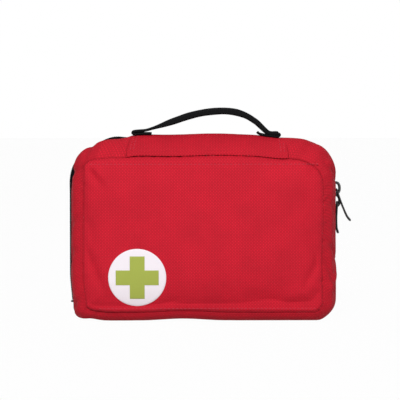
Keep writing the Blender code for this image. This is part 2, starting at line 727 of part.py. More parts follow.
def roll(name, left, diameter, y_low, z_low, height, finish):
    """A wrapped bandage roll standing on end."""
    radius = diameter / 2
    turns = np.arange(20) * (2 * math.pi / 20)
    edge = radius * 0.12
    levels = ((z_low, radius - edge), (z_low + edge, radius),
              (z_low + height - edge, radius), (z_low + height, radius - edge))
    sections = [[(left + radius + r * math.cos(a), y_low + radius + r * math.sin(a), z)
                 for a in turns] for z, r in levels]
    return sweep(name, sections, finish, smooth=50)


def back_contents(pocket_back):
    """Rolls, packets and tape behind the back pocket's mesh, standing on the bottom."""
    near = pocket_back + SEWN_GAP
    far = BACK_LINING_Y - SEWN_GAP
    clear = shell_outline(BACK_LINING_Y, FABRIC + SEWN_GAP + LINING)
    floor = min(z for _, z in clear) + FLOOR_GAP
    wall = max(x for x, _ in clear) - PACK_GAP
    diameter = far - near
    left = -wall + SEAM_BOTTOM_RADIUS / 4
    roll("bandage_roll_wide", left, diameter, near, floor, WIDE_ROLL_HEIGHT, "paper")
    roll("bandage_roll_narrow", left + diameter + PACK_GAP, diameter, near, floor,
         NARROW_ROLL_HEIGHT, "paper")
    start = left + 2 * (diameter + PACK_GAP)
    end = wall - SEAM_BOTTOM_RADIUS / 4
    split = near + TAPE_ROLL_WIDTH + PACK_GAP
    blanket, dressing = columns(start, end, (1.0, 0.82))
    soft_box("foil_blanket", (blanket[0], split, floor), (blanket[1], far, floor + BLANKET_HEIGHT),
             PACK_EDGE, "foil")
    soft_box("triangular_bandage", (dressing[0], split, floor),
             (dressing[1], far, floor + TRIANGLE_HEIGHT), PACK_EDGE, "gauze")
    centre_x, centre_z = end - TAPE_ROLL / 2, floor + TAPE_ROLL / 2
    core = TAPE_CORE / 2
    ring_y("tape_roll", centre_x, centre_z, TAPE_ROLL / 2, core, near, near + TAPE_ROLL_WIDTH,
           "gauze")
    ring_y("tape_core", centre_x, centre_z, core - SEWN_GAP, core - SEWN_GAP - CORE_WALL, near,
           near + TAPE_ROLL_WIDTH, "card")
    packs = columns(start, end - TAPE_ROLL - PACK_GAP, (1.0, 0.9))
    middle = (near + split - PACK_GAP) / 2
    soft_box("gauze_pack", (packs[0][0], near, floor),
             (packs[0][1], middle - SEWN_GAP, floor + GAUZE_HEIGHT), THIN_EDGE, "paper")
    soft_box("burn_dressing", (packs[0][0], middle + SEWN_GAP, floor),
             (packs[0][1], split - PACK_GAP, floor + BURN_HEIGHT), THIN_EDGE, "foil")
    soft_box("wound_dressing", (packs[1][0], near, floor),
             (packs[1][1], split - PACK_GAP, floor + DRESSING_HEIGHT), PACK_EDGE, "paper")


# ---------------------------------------------------------------- contents of the front half

def front_contents(pocket_front):
    """Flat packets between the front lining and the front pocket's mesh."""
    near = FRONT_LINING_Y + SEWN_GAP
    far = pocket_front - SEWN_GAP
    floor = FABRIC + SEWN_GAP + LINING + FRONT_BOTTOM_INSET + FLOOR_GAP
    wall = max(x for x, _ in shell_outline(near, FABRIC + SEWN_GAP + LINING)) - PACK_GAP
    reach = wall - SEAM_BOTTOM_RADIUS / 3
    plasters, sachets, gloves = columns(-reach, reach, (1.0, 0.9, 1.2))
    soft_box("plaster_pack", (plasters[0], near, floor),
             (plasters[1], far, FRONT_POCKET_TOP - PLASTERS_UNDER), THIN_EDGE, "card")
    soft_box("gloves_pack", (gloves[0], near, floor),
             (gloves[1], far, FRONT_POCKET_TOP + GLOVES_PROUD), PACK_EDGE, "gauze")
    for count in range(3):
        y = near + count * (SACHET_THICK + SEWN_GAP)
        lift = count * SACHET_STEP
        soft_box("wipe_sachet_%d" % (count + 1), (sachets[0], y, floor + lift),
                 (sachets[1], y + SACHET_THICK, FRONT_POCKET_TOP - SACHETS_UNDER + lift),
                 SACHET_EDGE, "foil")


def elastic_band(base):
    """Elastic across the lining: it stands off the lining between two sewn ends."""
    low, high = BAND_Z - BAND_HEIGHT / 2, BAND_Z + BAND_HEIGHT / 2
    top = base + BAND_LIFT
    end = BAND_END
    outline = ((-BAND_HALF, base), (-BAND_HALF, top + LINING), (BAND_HALF, top + LINING),
               (BAND_HALF, base), (BAND_HALF - end, base), (BAND_HALF - end, top),
               (-BAND_HALF + end, top), (-BAND_HALF + end, base))
    sections = [[(x, y, z) for x, y in outline] for z in (low, high)]
    sweep("elastic_band", sections, "webbing")


def scissor_half(name, y_low, pivot, side):
    """Blade, shank and finger loop of one half; side is +1 for the loop above."""
    px, pz = pivot
    y_high = y_low + BLADE_THICK
    blade = ((-BLADE_REACH, side * 0.6 * MM), (-BLADE_REACH, side * -0.8 * MM),
             (-6 * MM, side * -4.2 * MM), (5 * MM, side * -3.4 * MM),
             (SHANK_REACH, side * (LOOP_RADIUS - 2.4 * MM)),
             (SHANK_REACH, side * (LOOP_RADIUS + 1.6 * MM)),
             (6 * MM, side * 4.2 * MM), (-8 * MM, side * 2.8 * MM))
    half = prism_y(name, [(px + x, pz + z) for x, z in blade], y_low, y_high, "steel")
    loop = ring_y(name + "_loop", px + SHANK_REACH + LOOP_RADIUS - LOOP_BAR / 2,
                  pz + side * (LOOP_RADIUS + LOOP_BAR / 2), LOOP_RADIUS,
                  LOOP_RADIUS - LOOP_BAR, y_low, y_high, "steel", 20)
    combine(half, loop, "UNION")
    hole = prism_y(name + "_hole", circle(px, pz, SCREW_RADIUS + SEWN_GAP, 16),
                   y_low - BLADE_THICK, y_high + BLADE_THICK, "steel")
    combine(half, hole, "DIFFERENCE")
    half.data.materials.clear()
    half.data.materials.append(material(name, "steel"))
    return half


def tools(base):
    """Bandage scissors on their screw, and tweezers, both under the elastic band."""
    pivot = (-4 * MM, BAND_Z)
    first = base + SEWN_GAP
    second = first + BLADE_THICK + SEWN_GAP
    scissor_half("scissor_blade_fixed", first, pivot, -1)
    scissor_half("scissor_blade_moving", second, pivot, 1)
    top = second + BLADE_THICK + SEWN_GAP
    screw = prism_y("scissor_screw", circle(*pivot, SCREW_RADIUS, 16), first, top + 0.2 * MM, "steel")
    head = prism_y("scissor_screw_head", circle(*pivot, SCREW_HEAD, 16), top, top + LINING, "steel")
    combine(screw, head, "UNION")
    low = BAND_Z + BAND_HEIGHT / 2 + TWEEZER_RISE
    left, tip, bend = -BAND_HALF, -BAND_HALF + TWEEZER_LENGTH, -BAND_HALF + TWEEZER_BEND
    steel, wide = TWEEZER_STEEL, TWEEZER_OPEN
    arms = ((left, 0), (bend, 0), (tip, wide / 2 - steel / 2), (tip, wide / 2 + steel / 2),
            (bend, steel), (bend, steel + wide / 2), (tip, steel + wide),
            (tip, 2 * steel + wide), (left, 2 * steel + wide))
    sections = [[(x, first + y, z) for x, y in arms] for z in (low, low + TWEEZER_WIDTH)]
    sweep("tweezers", sections, "steel")


# ---------------------------------------------------------------- assembly

def build():
    for old in list(bpy.data.objects):
        bpy.data.objects.remove(old)
    shells()
    zipper()
    sliders()
    handle_patch()
    handle()
    badge()
    hinge_tape()
    back_pocket = HINGE_Y + SLIDER_WIDTH / 2 + PACK_GAP
    inside_tape = TAPE_INSET + TAPE_THICK + RUN_GAP + SEWN_GAP
    pocket("back", back_pocket, back_pocket + POCKET_MESH, inside_tape, BACK_POCKET_TOP)
    back_contents(back_pocket + BINDING_THICK)
    front_pocket = FRONT_LINING_Y + FRONT_POCKET_DEPTH
    pocket("front", front_pocket, front_pocket, FABRIC + SEWN_GAP, FRONT_POCKET_TOP)
    front_contents(front_pocket - (BINDING_THICK - POCKET_MESH) / 2)
    elastic_band(FRONT_LINING_Y + SEWN_GAP)
    tools(FRONT_LINING_Y + SEWN_GAP)


build()
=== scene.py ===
# %% [markdown]
# # A first aid kit
# Its two padded halves are joined along the bottom and closed by a zip with two sliders,
# and mesh pockets inside hold the dressings and tools. The CAD model gives every size and
# every joint, and this script gives each of its pieces the look of cloth, nylon, steel,
# paper and foil.
#
# Each new surface is a grid of points worked out with numpy, because sewn cloth is easiest
# to describe as a formula of two parameters: one runs round the pouch, one across it.

import math

import bmesh
import bpy
import numpy as np
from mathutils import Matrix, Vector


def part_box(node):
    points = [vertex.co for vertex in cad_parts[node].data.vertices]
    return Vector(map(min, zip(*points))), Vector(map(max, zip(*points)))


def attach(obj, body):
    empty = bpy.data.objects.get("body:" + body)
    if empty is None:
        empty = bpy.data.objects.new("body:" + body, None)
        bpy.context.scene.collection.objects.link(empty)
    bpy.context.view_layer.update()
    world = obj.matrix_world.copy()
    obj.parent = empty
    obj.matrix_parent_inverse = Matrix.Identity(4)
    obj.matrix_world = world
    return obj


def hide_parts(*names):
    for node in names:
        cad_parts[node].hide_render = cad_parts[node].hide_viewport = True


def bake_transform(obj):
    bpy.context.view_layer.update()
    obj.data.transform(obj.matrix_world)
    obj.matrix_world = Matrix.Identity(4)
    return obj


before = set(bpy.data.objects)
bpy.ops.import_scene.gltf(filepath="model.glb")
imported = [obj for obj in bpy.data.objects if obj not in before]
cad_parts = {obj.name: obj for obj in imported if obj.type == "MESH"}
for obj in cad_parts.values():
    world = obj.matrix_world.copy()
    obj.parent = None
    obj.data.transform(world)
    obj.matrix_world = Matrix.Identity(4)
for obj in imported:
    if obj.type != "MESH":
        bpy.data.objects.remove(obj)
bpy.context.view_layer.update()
MM = 0.001


# %% [markdown]
# ## Tools for meshes
# A grid of points becomes a mesh of four-sided faces. Its UV map is kept in metres, so that
# a weave drawn on it has its true thread spacing. Two more tools repeat a small shape many
# times, for stitches and zip teeth, and give a sheet its thickness.

# %% A grid of points becomes a piece
INSIDE = (0.0, -0.008, 0.075)     # a point inside the closed pouch


def finish_piece(name, mesh, materials, smooth=True):
    """Puts a mesh into the scene with its materials; its object stays at the origin."""
    for material in materials:
        mesh.materials.append(material)
    if smooth:
        mesh.shade_smooth()
    piece = bpy.data.objects.new(name, mesh)
    bpy.context.scene.collection.objects.link(piece)
    return piece


def face_away(mesh, centre):
    """Turns all faces round if most of them look towards centre."""
    count = len(mesh.polygons)
    normals, centres = np.empty(count * 3, np.float32), np.empty(count * 3, np.float32)
    areas = np.empty(count, np.float32)
    mesh.polygons.foreach_get("normal", normals)
    mesh.polygons.foreach_get("center", centres)
    mesh.polygons.foreach_get("area", areas)
    looks = ((centres.reshape(-1, 3) - centre) * normals.reshape(-1, 3)).sum(axis=1)
    if (looks * areas).sum() < 0:
        mesh.flip_normals()


def grid_mesh(name, points, uv=None, wrap=(False, False), away_from=INSIDE):
    """A mesh from points[i, j]: one face between each point and its next in i and in j.

    wrap joins the last row to the first, in i or in j. Points that coincide are merged,
    which closes a pole. uv[i, j] is in metres and has one more row where i wraps.
    """
    n, m = points.shape[:2]
    i, j = np.meshgrid(np.arange(n if wrap[0] else n - 1), np.arange(m if wrap[1] else m - 1),
                       indexing="ij")
    i, j = i.ravel(), j.ravel()
    corners = np.stack([i, i + 1, i + 1, i]), np.stack([j, j, j + 1, j + 1])
    faces = ((corners[0] % n) * m + corners[1] % m).T
    mesh = bpy.data.meshes.new(name)
    mesh.from_pydata(points.reshape(-1, 3).tolist(), [], faces.tolist())
    if uv is not None:
        layer = mesh.uv_layers.new(name="Cloth")
        layer.uv.foreach_set("vector", uv[corners[0].T, corners[1].T].astype(np.float32).ravel())
    joined = bmesh.new()
    joined.from_mesh(mesh)
    bmesh.ops.remove_doubles(joined, verts=joined.verts, dist=1e-7)
    joined.to_mesh(mesh)
    joined.free()
    face_away(mesh, away_from)
    return mesh


def thicken(piece, thickness, offset=-1.0, inner_slot=0):
    """Gives a sheet its thickness, inwards at offset -1, with another finish inside."""
    wall = piece.modifiers.new("thickness", "SOLIDIFY")
    wall.thickness = thickness
    wall.offset = offset
    wall.use_even_offset = False
    wall.material_offset = inner_slot
    wall.material_offset_rim = 0
    return piece


def apply_modifiers(piece):
    """The piece keeps the mesh that its modifiers make, and loses the modifiers."""
    bpy.context.view_layer.update()
    seen = piece.evaluated_get(bpy.context.evaluated_depsgraph_get())
    piece.data, old = bpy.data.meshes.new_from_object(seen), piece.data
    piece.modifiers.clear()
    bpy.data.meshes.remove(old)


def fix_normals(piece):
    """Makes the faces of a closed shape look outwards."""
    shape = bmesh.new()
    shape.from_mesh(piece.data)
    bmesh.ops.recalc_face_normals(shape, faces=shape.faces)
    shape.to_mesh(piece.data)
    shape.free()


def closed_piece(name, points, wrap, material, uv=None):
    """A grid that closes on itself as a piece whose faces look outwards."""
    piece = finish_piece(name, grid_mesh(name, points, uv, wrap), [material])
    fix_normals(piece)
    return piece


# %% Directions, lengths and curves
def unit(vectors):
    """The same directions with length 1."""
    return vectors / np.maximum(np.linalg.norm(vectors, axis=-1, keepdims=True), 1e-12)


def grid_normals(points, wrap=(False, False)):
    """Unit normals of points[i, j]: the cross product of the differences along i and j."""
    steps = [np.roll(points, -1, axis) - np.roll(points, 1, axis) if closed
             else np.gradient(points, axis=axis) for axis, closed in enumerate(wrap)]
    return unit(np.cross(steps[0], steps[1]))


def full_turn(count):
    """Angles spaced evenly round a circle."""
    return np.linspace(0, 2 * np.pi, count, endpoint=False)


def squared_circle(turns, cos_power, sin_power):
    """cos and sin with their sizes raised to powers: below 1 the circle fills its square."""
    c, s = np.cos(turns), np.sin(turns)
    return np.sign(c) * np.abs(c) ** cos_power, np.sign(s) * np.abs(s) ** sin_power


def drawn_together(rings, first, last):
    """Rings of points with one more at each end, where all points meet in one."""
    count = rings.shape[1]
    return np.concatenate([np.tile(first, (1, count, 1)), rings, np.tile(last, (1, count, 1))])


def travelled(points, closed=False):
    """Distance along a line of points; a closed line gets one more value at its end."""
    line = np.concatenate([points, points[:1]]) if closed else points
    steps = np.linalg.norm(np.diff(line, axis=0), axis=1)
    return np.concatenate([[0.0], np.cumsum(steps)])


def smooth_step(low, high, value):
    """0 below low, 1 above high, and an S curve 3t^2 - 2t^3 between them."""
    t = np.clip((np.asarray(value) - low) / (high - low), 0.0, 1.0)
    return t * t * (3 - 2 * t)


def hump(value, middle, width):
    """A bell curve exp(-d^2) of the distance from middle, in widths."""
    return np.exp(-((np.asarray(value) - middle) / width) ** 2)


def spline(knots, steps):
    """A smooth curve through given knots (Catmull-Rom: cubics whose slope at a knot is
    half the step between its neighbours), read at evenly spaced parameters."""
    knots = np.asarray(knots, float)
    ends = np.concatenate([2 * knots[:1] - knots[1:2], knots, 2 * knots[-1:] - knots[-2:-1]])
    place = np.linspace(0, len(knots) - 1, steps)
    i = np.minimum(place.astype(int), len(knots) - 2)
    t = (place - i)[:, None]
    a, b, c, d = (ends[i + k] for k in range(4))
    return 0.5 * (2 * b + (c - a) * t + (2 * a - 5 * b + 4 * c - d) * t ** 2
                  + (3 * b - a - 3 * c + d) * t ** 3)


def read_along(points, normals, at):
    """Places at given distances along a line, with its direction and the way out at each."""
    length = travelled(points)
    slopes = np.gradient(points, length, axis=0)
    places, along, out = (np.stack([np.interp(at, length, values[:, k]) for k in range(3)], axis=1)
                          for values in (points, slopes, normals))
    along = unit(along)
    return places, along, unit(out - along * (out * along).sum(axis=1, keepdims=True))


# %% One small shape, many times
def repeated(name, template, faces, places, along, out, material):
    """Copies of a template: its x runs along, its z runs out, its y across both."""
    across = np.cross(out, along)
    points = (places[:, None] + template[None, :, :1] * along[:, None]
              + template[None, :, 1:2] * across[:, None] + template[None, :, 2:] * out[:, None])
    size, count = len(template), len(places)
    loops = [tuple(v + size * k for v in face) for k in range(count) for face in faces]
    mesh = bpy.data.meshes.new(name)
    mesh.from_pydata(points.reshape(-1, 3).tolist(), [], loops)
    return finish_piece(name, mesh, [material])


def capsule(length, radii, sides=6):
    """A closed rod along x whose radius follows radii from end to end, with flat caps."""
    turns = full_turn(sides)
    x = np.linspace(-0.5, 0.5, len(radii)) * length
    ring = np.stack([np.cos(turns), np.sin(turns)], axis=1)
    points = np.concatenate([np.broadcast_to(x[:, None, None], (len(x), sides, 1)),
                             np.asarray(radii)[:, None, None] * ring[None]], axis=2)
    faces = [(a * sides + b, a * sides + (b + 1) % sides, (a + 1) * sides + (b + 1) % sides,
              (a + 1) * sides + b) for a in range(len(x) - 1) for b in range(sides)]
    last = (len(x) - 1) * sides
    caps = [tuple(range(sides)), tuple(range(last, last + sides))[::-1]]
    return points.reshape(-1, 3), faces + caps


def sew(name, line, normals, body, material, pitch=3.2 * MM, thread=0.45 * MM, sink=0.25):
    """A row of stitches along a line: short rods of thread, sunk by a share of their radius."""
    length = travelled(line)[-1]
    count = max(2, int(length / pitch))
    places, along, out = read_along(line, normals, (np.arange(count) + 0.5) * length / count)
    template, faces = capsule(pitch * 0.74, np.array([0.35, 0.9, 1.0, 1.0, 0.9, 0.35]) * thread)
    template[:, 2] = template[:, 2] * 0.8 - sink * thread
    row = repeated(name, template, faces, places, along, out, material)
    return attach(row, body)


print("mesh tools ready")


# %% [markdown]
# ## Tools for materials
# Colours are written as the hex values that a paint shop would quote, and one function
# turns them to the linear numbers that the renderer needs. Another adds a node. A plain
# weave is two sets of threads that take turns on top, like a chessboard.

# %% Colour, nodes and the plain weave
def linear(hex_colour):
    """An sRGB hex colour as linear RGBA."""
    parts = np.array([int(hex_colour[i:i + 2], 16) / 255 for i in (0, 2, 4)])
    flat = np.where(parts <= 0.04045, parts / 12.92, ((parts + 0.055) / 1.055) ** 2.4)
    return (*flat.tolist(), 1.0)


def add(tree, kind, settings=None, inputs=None):
    """Adds a node with its own settings; an input is a value, a node or a node's output."""
    made = tree.nodes.new("ShaderNode" + kind)
    for key, value in (settings or {}).items():
        setattr(made, key, value)
    for key, value in (inputs or {}).items():
        if isinstance(value, bpy.types.Node):
            value = value.outputs[0]
        if isinstance(value, bpy.types.NodeSocket):
            tree.links.new(value, made.inputs[key])
        else:
            made.inputs[key].default_value = value
    return made


def maths(tree, operation, *inputs):
    """A Math node's result."""
    return add(tree, "Math", {"operation": operation}, dict(enumerate(inputs)))


def new_material(name, **sockets):
    """A material with one Principled shader; sockets hold constant values by their names."""
    made = bpy.data.materials.new(name)
    made.use_nodes = True
    shader = made.node_tree.nodes["Principled BSDF"]
    for key, value in sockets.items():
        shader.inputs[key.replace("_", " ").title().replace("Ior", "IOR")].default_value = value
    return made, made.node_tree, shader


def blend_colours(tree, share, low, high):
    """A Mix node between two hex colours or outputs."""
    low, high = (linear(c) if isinstance(c, str) else c for c in (low, high))
    mix = add(tree, "Mix", {"data_type": "RGBA"}, {0: share, 6: low, 7: high})
    return mix.outputs[2]


def surface_place(tree, pitch, turn=0.0):
    """The piece's own UV map, turned and counted in threads."""
    uv = add(tree, "UVMap", {"uv_map": "Cloth"})
    scaled = add(tree, "Mapping", {}, {0: uv, 2: (0, 0, turn), 3: (1 / pitch, 1 / pitch, 1)})
    return add(tree, "SeparateXYZ", {}, {0: scaled})


def plain_weave(tree, pitch, turn=0.0):
    """Height of a plain weave: |sin(pi u)| where the warp is on top, else half |sin(pi v)|."""
    place = surface_place(tree, pitch, turn)
    rows, cells = [], []
    for axis in (0, 1):
        wave = maths(tree, "SINE", maths(tree, "MULTIPLY", place.outputs[axis], math.pi))
        rows.append(maths(tree, "ABSOLUTE", wave))
        cells.append(maths(tree, "FLOOR", place.outputs[axis]))
    low_row = maths(tree, "MULTIPLY", rows[1], 0.5)
    turn_on_top = maths(tree, "PINGPONG", maths(tree, "ADD", cells[0], cells[1]), 1.0)
    return add(tree, "Mix", {"data_type": "FLOAT"}, {0: turn_on_top, 2: rows[0], 3: low_row})


def cloudiness(tree, scale, detail=3.0, stretch=(1, 1, 1)):
    """Soft noise in Object coordinates, with scale in patches per metre."""
    place = add(tree, "TexCoord")
    place = add(tree, "Mapping", {}, {0: place.outputs["Object"], 3: stretch})
    return add(tree, "TexNoise", {}, {"Vector": place, "Scale": scale, "Detail": detail})


def roughen(tree, shader, height, distance):
    """Bump from a height of 0 to 1, which stands distance high."""
    bump = add(tree, "Bump", {}, {"Height": height, "Distance": distance, "Strength": 1.0})
    tree.links.new(bump.outputs[0], shader.inputs["Normal"])


def patchy(name, noise, dark, light, relief, **sockets):
    """A finish whose colour and relief follow one soft noise, given as cloudiness takes it."""
    made, tree, shader = new_material(name, **sockets)
    patches = cloudiness(tree, *noise)
    tree.links.new(blend_colours(tree, patches, dark, light), shader.inputs["Base Color"])
    roughen(tree, shader, patches, relief)
    return made


def woven(name, gap, thread, pitch, relief, cloud=("000000", 0.0), sheen=0.1, rough=0.8,
          turn=0.0, shine=0.25):
    """A cloth of one colour: painted shade between the threads, uneven in patches, matt."""
    made, tree, shader = new_material(name, roughness=rough, sheen_weight=sheen,
                                      sheen_roughness=0.5, specular_ior_level=shine)
    weave = plain_weave(tree, pitch, turn)
    # painted light and shade: the gap colour fills the weave's hollows, the paler thread colour its raised
    # threads
    colour = blend_colours(tree, weave, gap, thread)
    patches = add(tree, "MapRange", {}, {0: cloudiness(tree, 55), 1: 0.35, 2: 0.7, 4: cloud[1]})
    colour = blend_colours(tree, patches, colour, linear(cloud[0]))
    tree.links.new(colour, shader.inputs["Base Color"])
    roughen(tree, shader, weave, relief)
    return made


print("material tools ready")


# %% [markdown]
# ## Red polyester
# The shell is a plain-weave polyester of coarse, bulky yarn, coated on its reverse. Up close
# it is a field of tiny raised dots. Its real threads are about half a millimetre apart, too
# fine to be seen at arm's length, so they are drawn a little coarser. The dots are painted
# paler than the gaps between them: painted light on the thread ends, painted shade between.

# %% Cloth for the outside
oxford_red = woven("oxford_polyester_red", "A60A1D", "DA1730", 1.25 * MM, 0.24 * MM,
                   cloud=("8A0A1C", 0.22), sheen=0.0)
oxford_panel = woven("oxford_polyester_panel", "AC0B1F", "E01A34", 1.25 * MM, 0.24 * MM,
                     cloud=("90091B", 0.20), sheen=0.0)
coated_reverse = woven("coated_polyester_reverse", "3F4145", "55575B", 0.9 * MM, 0.05 * MM,
                       sheen=0.05, rough=0.55)
red_thread = woven("sewing_thread_red", "B82236", "DC3C50", 0.6 * MM, 0.05 * MM, rough=0.6)
print("outside cloths:", oxford_red.name, oxford_panel.name)


# %% [markdown]
# ## The shape of the pouch
# Seen from the front the pouch is a rectangle with rounded corners, and its size at each
# depth comes from the CAD nodes' boxes. A real pouch isn't so regular: its top left corner
# is pulled into a larger curve, its right shoulder slumps and its bottom is lifted a little
# where it is empty. The slump moves every sewn piece alike, so that they stay together.

# %% Sizes from the frame
def span(node):
    """A node's lowest and highest corner as two arrays."""
    return (np.array(corner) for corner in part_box(node))


gusset_low, gusset_high = span("front_gusset")
back_low, back_high = span("back_panel")
panel_low, panel_high = span("front_panel")
front_coil_low, front_coil_high = span("front_zip_coil")
back_coil_low, _ = span("back_zip_coil")
HALF, HEIGHT = gusset_high[0], gusset_high[2]
HINGE_Y = (front_coil_high[1] + back_coil_low[1]) / 2
SEAM_FRONT, SEAM_BACK = gusset_low[1], back_low[1]
FABRIC = 1.3 * MM
ZIP_START = front_coil_low[2]
ZIP_RADII, SEAM_RADII = (17, 33, 40, 9), (9, 24, 12, 9)     # corners in mm, from the lower right
FOLD_IN = 0.9 * MM                # how far a side wall's folded edge turns in at the zip
OFF_FLOOR = 0.35 * MM             # the cloth's relief stays above the floor
print("hinge and seams in mm:", [round(y / MM, 2) for y in (HINGE_Y, SEAM_FRONT, SEAM_BACK)])

# %% Points round the outline
ARC_STEPS, SIDE_STEPS, LONG_STEPS = 18, 66, 96


def outline_pattern():
    """For each point round the outline, anticlockwise from the bottom right: the corner
    before it, the corner after it, the share of the way between, and its normal's angle."""
    rows = []
    for corner in range(4):
        start = 90 * corner - 90
        arc = np.arange(ARC_STEPS + 1) / ARC_STEPS
        steps = LONG_STEPS if corner % 2 else SIDE_STEPS
        run = np.arange(1, steps) / steps
        rows.append([corner + 0 * arc, corner + 0 * arc, 0 * arc, start + 90 * arc])
        rows.append([corner + 0 * run, (corner + 1) % 4 + 0 * run, run, start + 90 + 0 * run])
    return np.concatenate(rows, axis=1)


CORNER_A, CORNER_B, BETWEEN, ANGLE = outline_pattern()
CORNER_A, CORNER_B = CORNER_A.astype(int), CORNER_B.astype(int)
ANGLE = np.radians(ANGLE)
COUNT = len(ANGLE)


def eased(y, start, power, seam):
    """0 at the zip and up to start, then a power curve that reaches 1 at the seam."""
    share = np.clip((y - HINGE_Y) / (seam - HINGE_Y), 0.0, 1.0)
    return np.clip((share - start) / (1 - start), 0.0, 1.0) ** power


def slump(x, z):
    """The uneven fall of the real pouch: bell curves that move its outline by up to 4 mm."""
    high = smooth_step(95 * MM, 140 * MM, z)
    low = 1 - smooth_step(2 * MM, 16 * MM, z)
    dz = -3.4 * MM * hump(x, 86 * MM, 17 * MM) * high
    dz -= 4.0 * MM * hump(x, -92 * MM, 18 * MM) * smooth_step(120 * MM, 145 * MM, z)
    dz -= 1.2 * MM * hump(x, -64 * MM, 9 * MM) * high
    dz -= 1.8 * MM * hump(x, 61 * MM, 13 * MM) * high
    dz += (0.5 * MM * np.sin(x / (13 * MM) + 0.6) * high * hump(x, 0, 70 * MM))
    dz += (1.7 * MM * hump(x, -16 * MM, 24 * MM) + 2.0 * MM * hump(x, -93 * MM, 10 * MM)) * low
    dx = 2.0 * MM * (1 - smooth_step(8 * MM, 38 * MM, z)) * smooth_step(-80 * MM, -100 * MM, x)
    dx -= 0.8 * MM * (1 - smooth_step(6 * MM, 18 * MM, z)) * smooth_step(80 * MM, 100 * MM, x)
    return x + dx, z + dz


def zip_in_sight(x, z):
    """1 over the upper left corner, where the zip stands out over the cloth, else 0."""
    return smooth_step(-56 * MM, -70 * MM, x) * smooth_step(100 * MM, 130 * MM, z)


def before_slump(x, z):
    """Where a point of the slumped pouch was before: four steps of x = x' - (slump(x) - x)."""
    from_x, from_z = x, z
    for _ in range(4):
        moved_x, moved_z = slump(from_x, from_z)
        from_x, from_z = from_x + x - moved_x, from_z + z - moved_z
    return from_x, from_z


def outline(y, inset=0.0):
    """(x, z) of the pouch's outline at depths y[point, ...], drawn in by inset: a rectangle
    with four corner circles, whose sides ease inwards between the zip and the seams."""
    y = np.asarray(y, float)
    if y.ndim == 0 or len(y) != COUNT:
        y = np.broadcast_to(y, (COUNT,) + y.shape)
    shape = (COUNT,) + (1,) * (y.ndim - 1)
    front = y < HINGE_Y
    f = [eased(y, start, power, SEAM_FRONT) for start, power in ((0.28, 1.8), (0.6, 1.7), (0.66, 2))]
    b = [eased(y, start, power, SEAM_BACK) for start, power in ((0.42, 2), (0.42, 2), (0.75, 2))]
    side = np.where(front, (HALF - panel_high[0]) * f[0], (HALF - back_high[0]) * b[0])
    top = np.where(front, (HEIGHT - panel_high[2]) * f[1], (HEIGHT - back_high[2]) * b[1])
    low = np.where(front, panel_low[2] * f[2], back_low[2] * b[2])
    turn = np.where(front, eased(y, 0.3, 1, SEAM_FRONT), eased(y, 0.3, 1, SEAM_BACK))
    radii = [MM * (a + (c - a) * turn) - inset for a, c in zip(ZIP_RADII, SEAM_RADII)]
    half, low, high = HALF - side - inset, low + inset, HEIGHT - top - inset
    x = [half - radii[0], half - radii[1], radii[2] - half, radii[3] - half]
    z = [low + radii[0], high - radii[1], high - radii[2], low + radii[3]]
    a, c, s, angle = (v.reshape(shape) for v in (CORNER_A, CORNER_B, BETWEEN, ANGLE))
    picked = [np.choose(a, v) * (1 - s) + np.choose(c, v) * s for v in (x, z, radii)]
    return slump(picked[0] + picked[2] * np.cos(angle), picked[1] + picked[2] * np.sin(angle))


def loop(y, inset=0.0):
    """The outline at depths y as points with three coordinates."""
    x, z = outline(y, inset)
    y = np.broadcast_to(np.asarray(y, float), x.shape)
    return np.stack([x, y, z], axis=-1)


ring = loop(HINGE_Y)
AROUND = travelled(ring, closed=True)
OUTWARD = np.stack([np.cos(ANGLE), 0 * ANGLE, np.sin(ANGLE)], axis=1)
print("points round the outline:", COUNT, "- its length in mm:", round(AROUND[-1] / MM))


# %% [markdown]
# ## Side walls
# Each half has one long strip of cloth sewn round its panel, the gusset. It is a grid that
# runs round the pouch in one direction and from the zip to the panel seam in the other. The
# seam pulls it in to a groove, the stuffing pushes it out between, and the thread gathers it
# in small puckers. A few larger folds are bell curves across a line.

# %% How folds and puckers are drawn
def crease(across, up, start, end, width, depth):
    """A fold along the line from start to end in one plane: a bell curve of the distance
    from the line, which fades out towards both ends."""
    start, end = np.array(start) * MM, np.array(end) * MM
    run = end - start
    share = ((across - start[0]) * run[0] + (up - start[1]) * run[1]) / (run @ run)
    held = np.clip(share, 0.0, 1.0)
    away = np.hypot(across - start[0] - held * run[0], up - start[1] - held * run[1])
    fade = np.sin(np.pi * np.clip(share, 0.04, 0.96)) ** 0.6
    return 1.5 * depth * MM * np.exp(-(away / (width * MM)) ** 2) * fade


def puckers(distance, seed, wave=7.5 * MM):
    """Gathers along a seam: sines of nearly the same length whose phases drift."""
    chance = np.random.default_rng(seed)
    total = 0.0
    for octave in range(4):
        length = wave * (0.62 + 0.27 * octave)
        phase = chance.uniform(0, 2 * np.pi)
        drift = 1.6 * np.sin(distance / (41 * MM) * (1 + 0.3 * octave) + phase * 2)
        total = total + np.sin(2 * np.pi * distance / length + phase + drift)
    return total / 4


# %% The gussets
WALL_ROWS = 44
ZIP_SHOWS = 7.6 * MM          # width of zip tape in sight beside the hinge line
HINGE_GAP = 0.15 * MM         # from the hinge line to each wall's edge along the bottom


def wall_depths(zip_edge, seam, hinge_edge):
    """Depth of each point of a gusset: its zip edge runs on to the hinge along the bottom."""
    height = ring[:, 2]
    on_bottom = (1 - smooth_step(1.5 * MM, 12 * MM, height))[:, None]
    edge = zip_edge + (hinge_edge - zip_edge) * on_bottom
    rows = np.linspace(0, 1, WALL_ROWS)
    rows = rows + 0.08 * np.sin(2 * np.pi * rows) / np.pi          # closer at both edges
    return edge + (seam - edge) * rows[None, :], rows


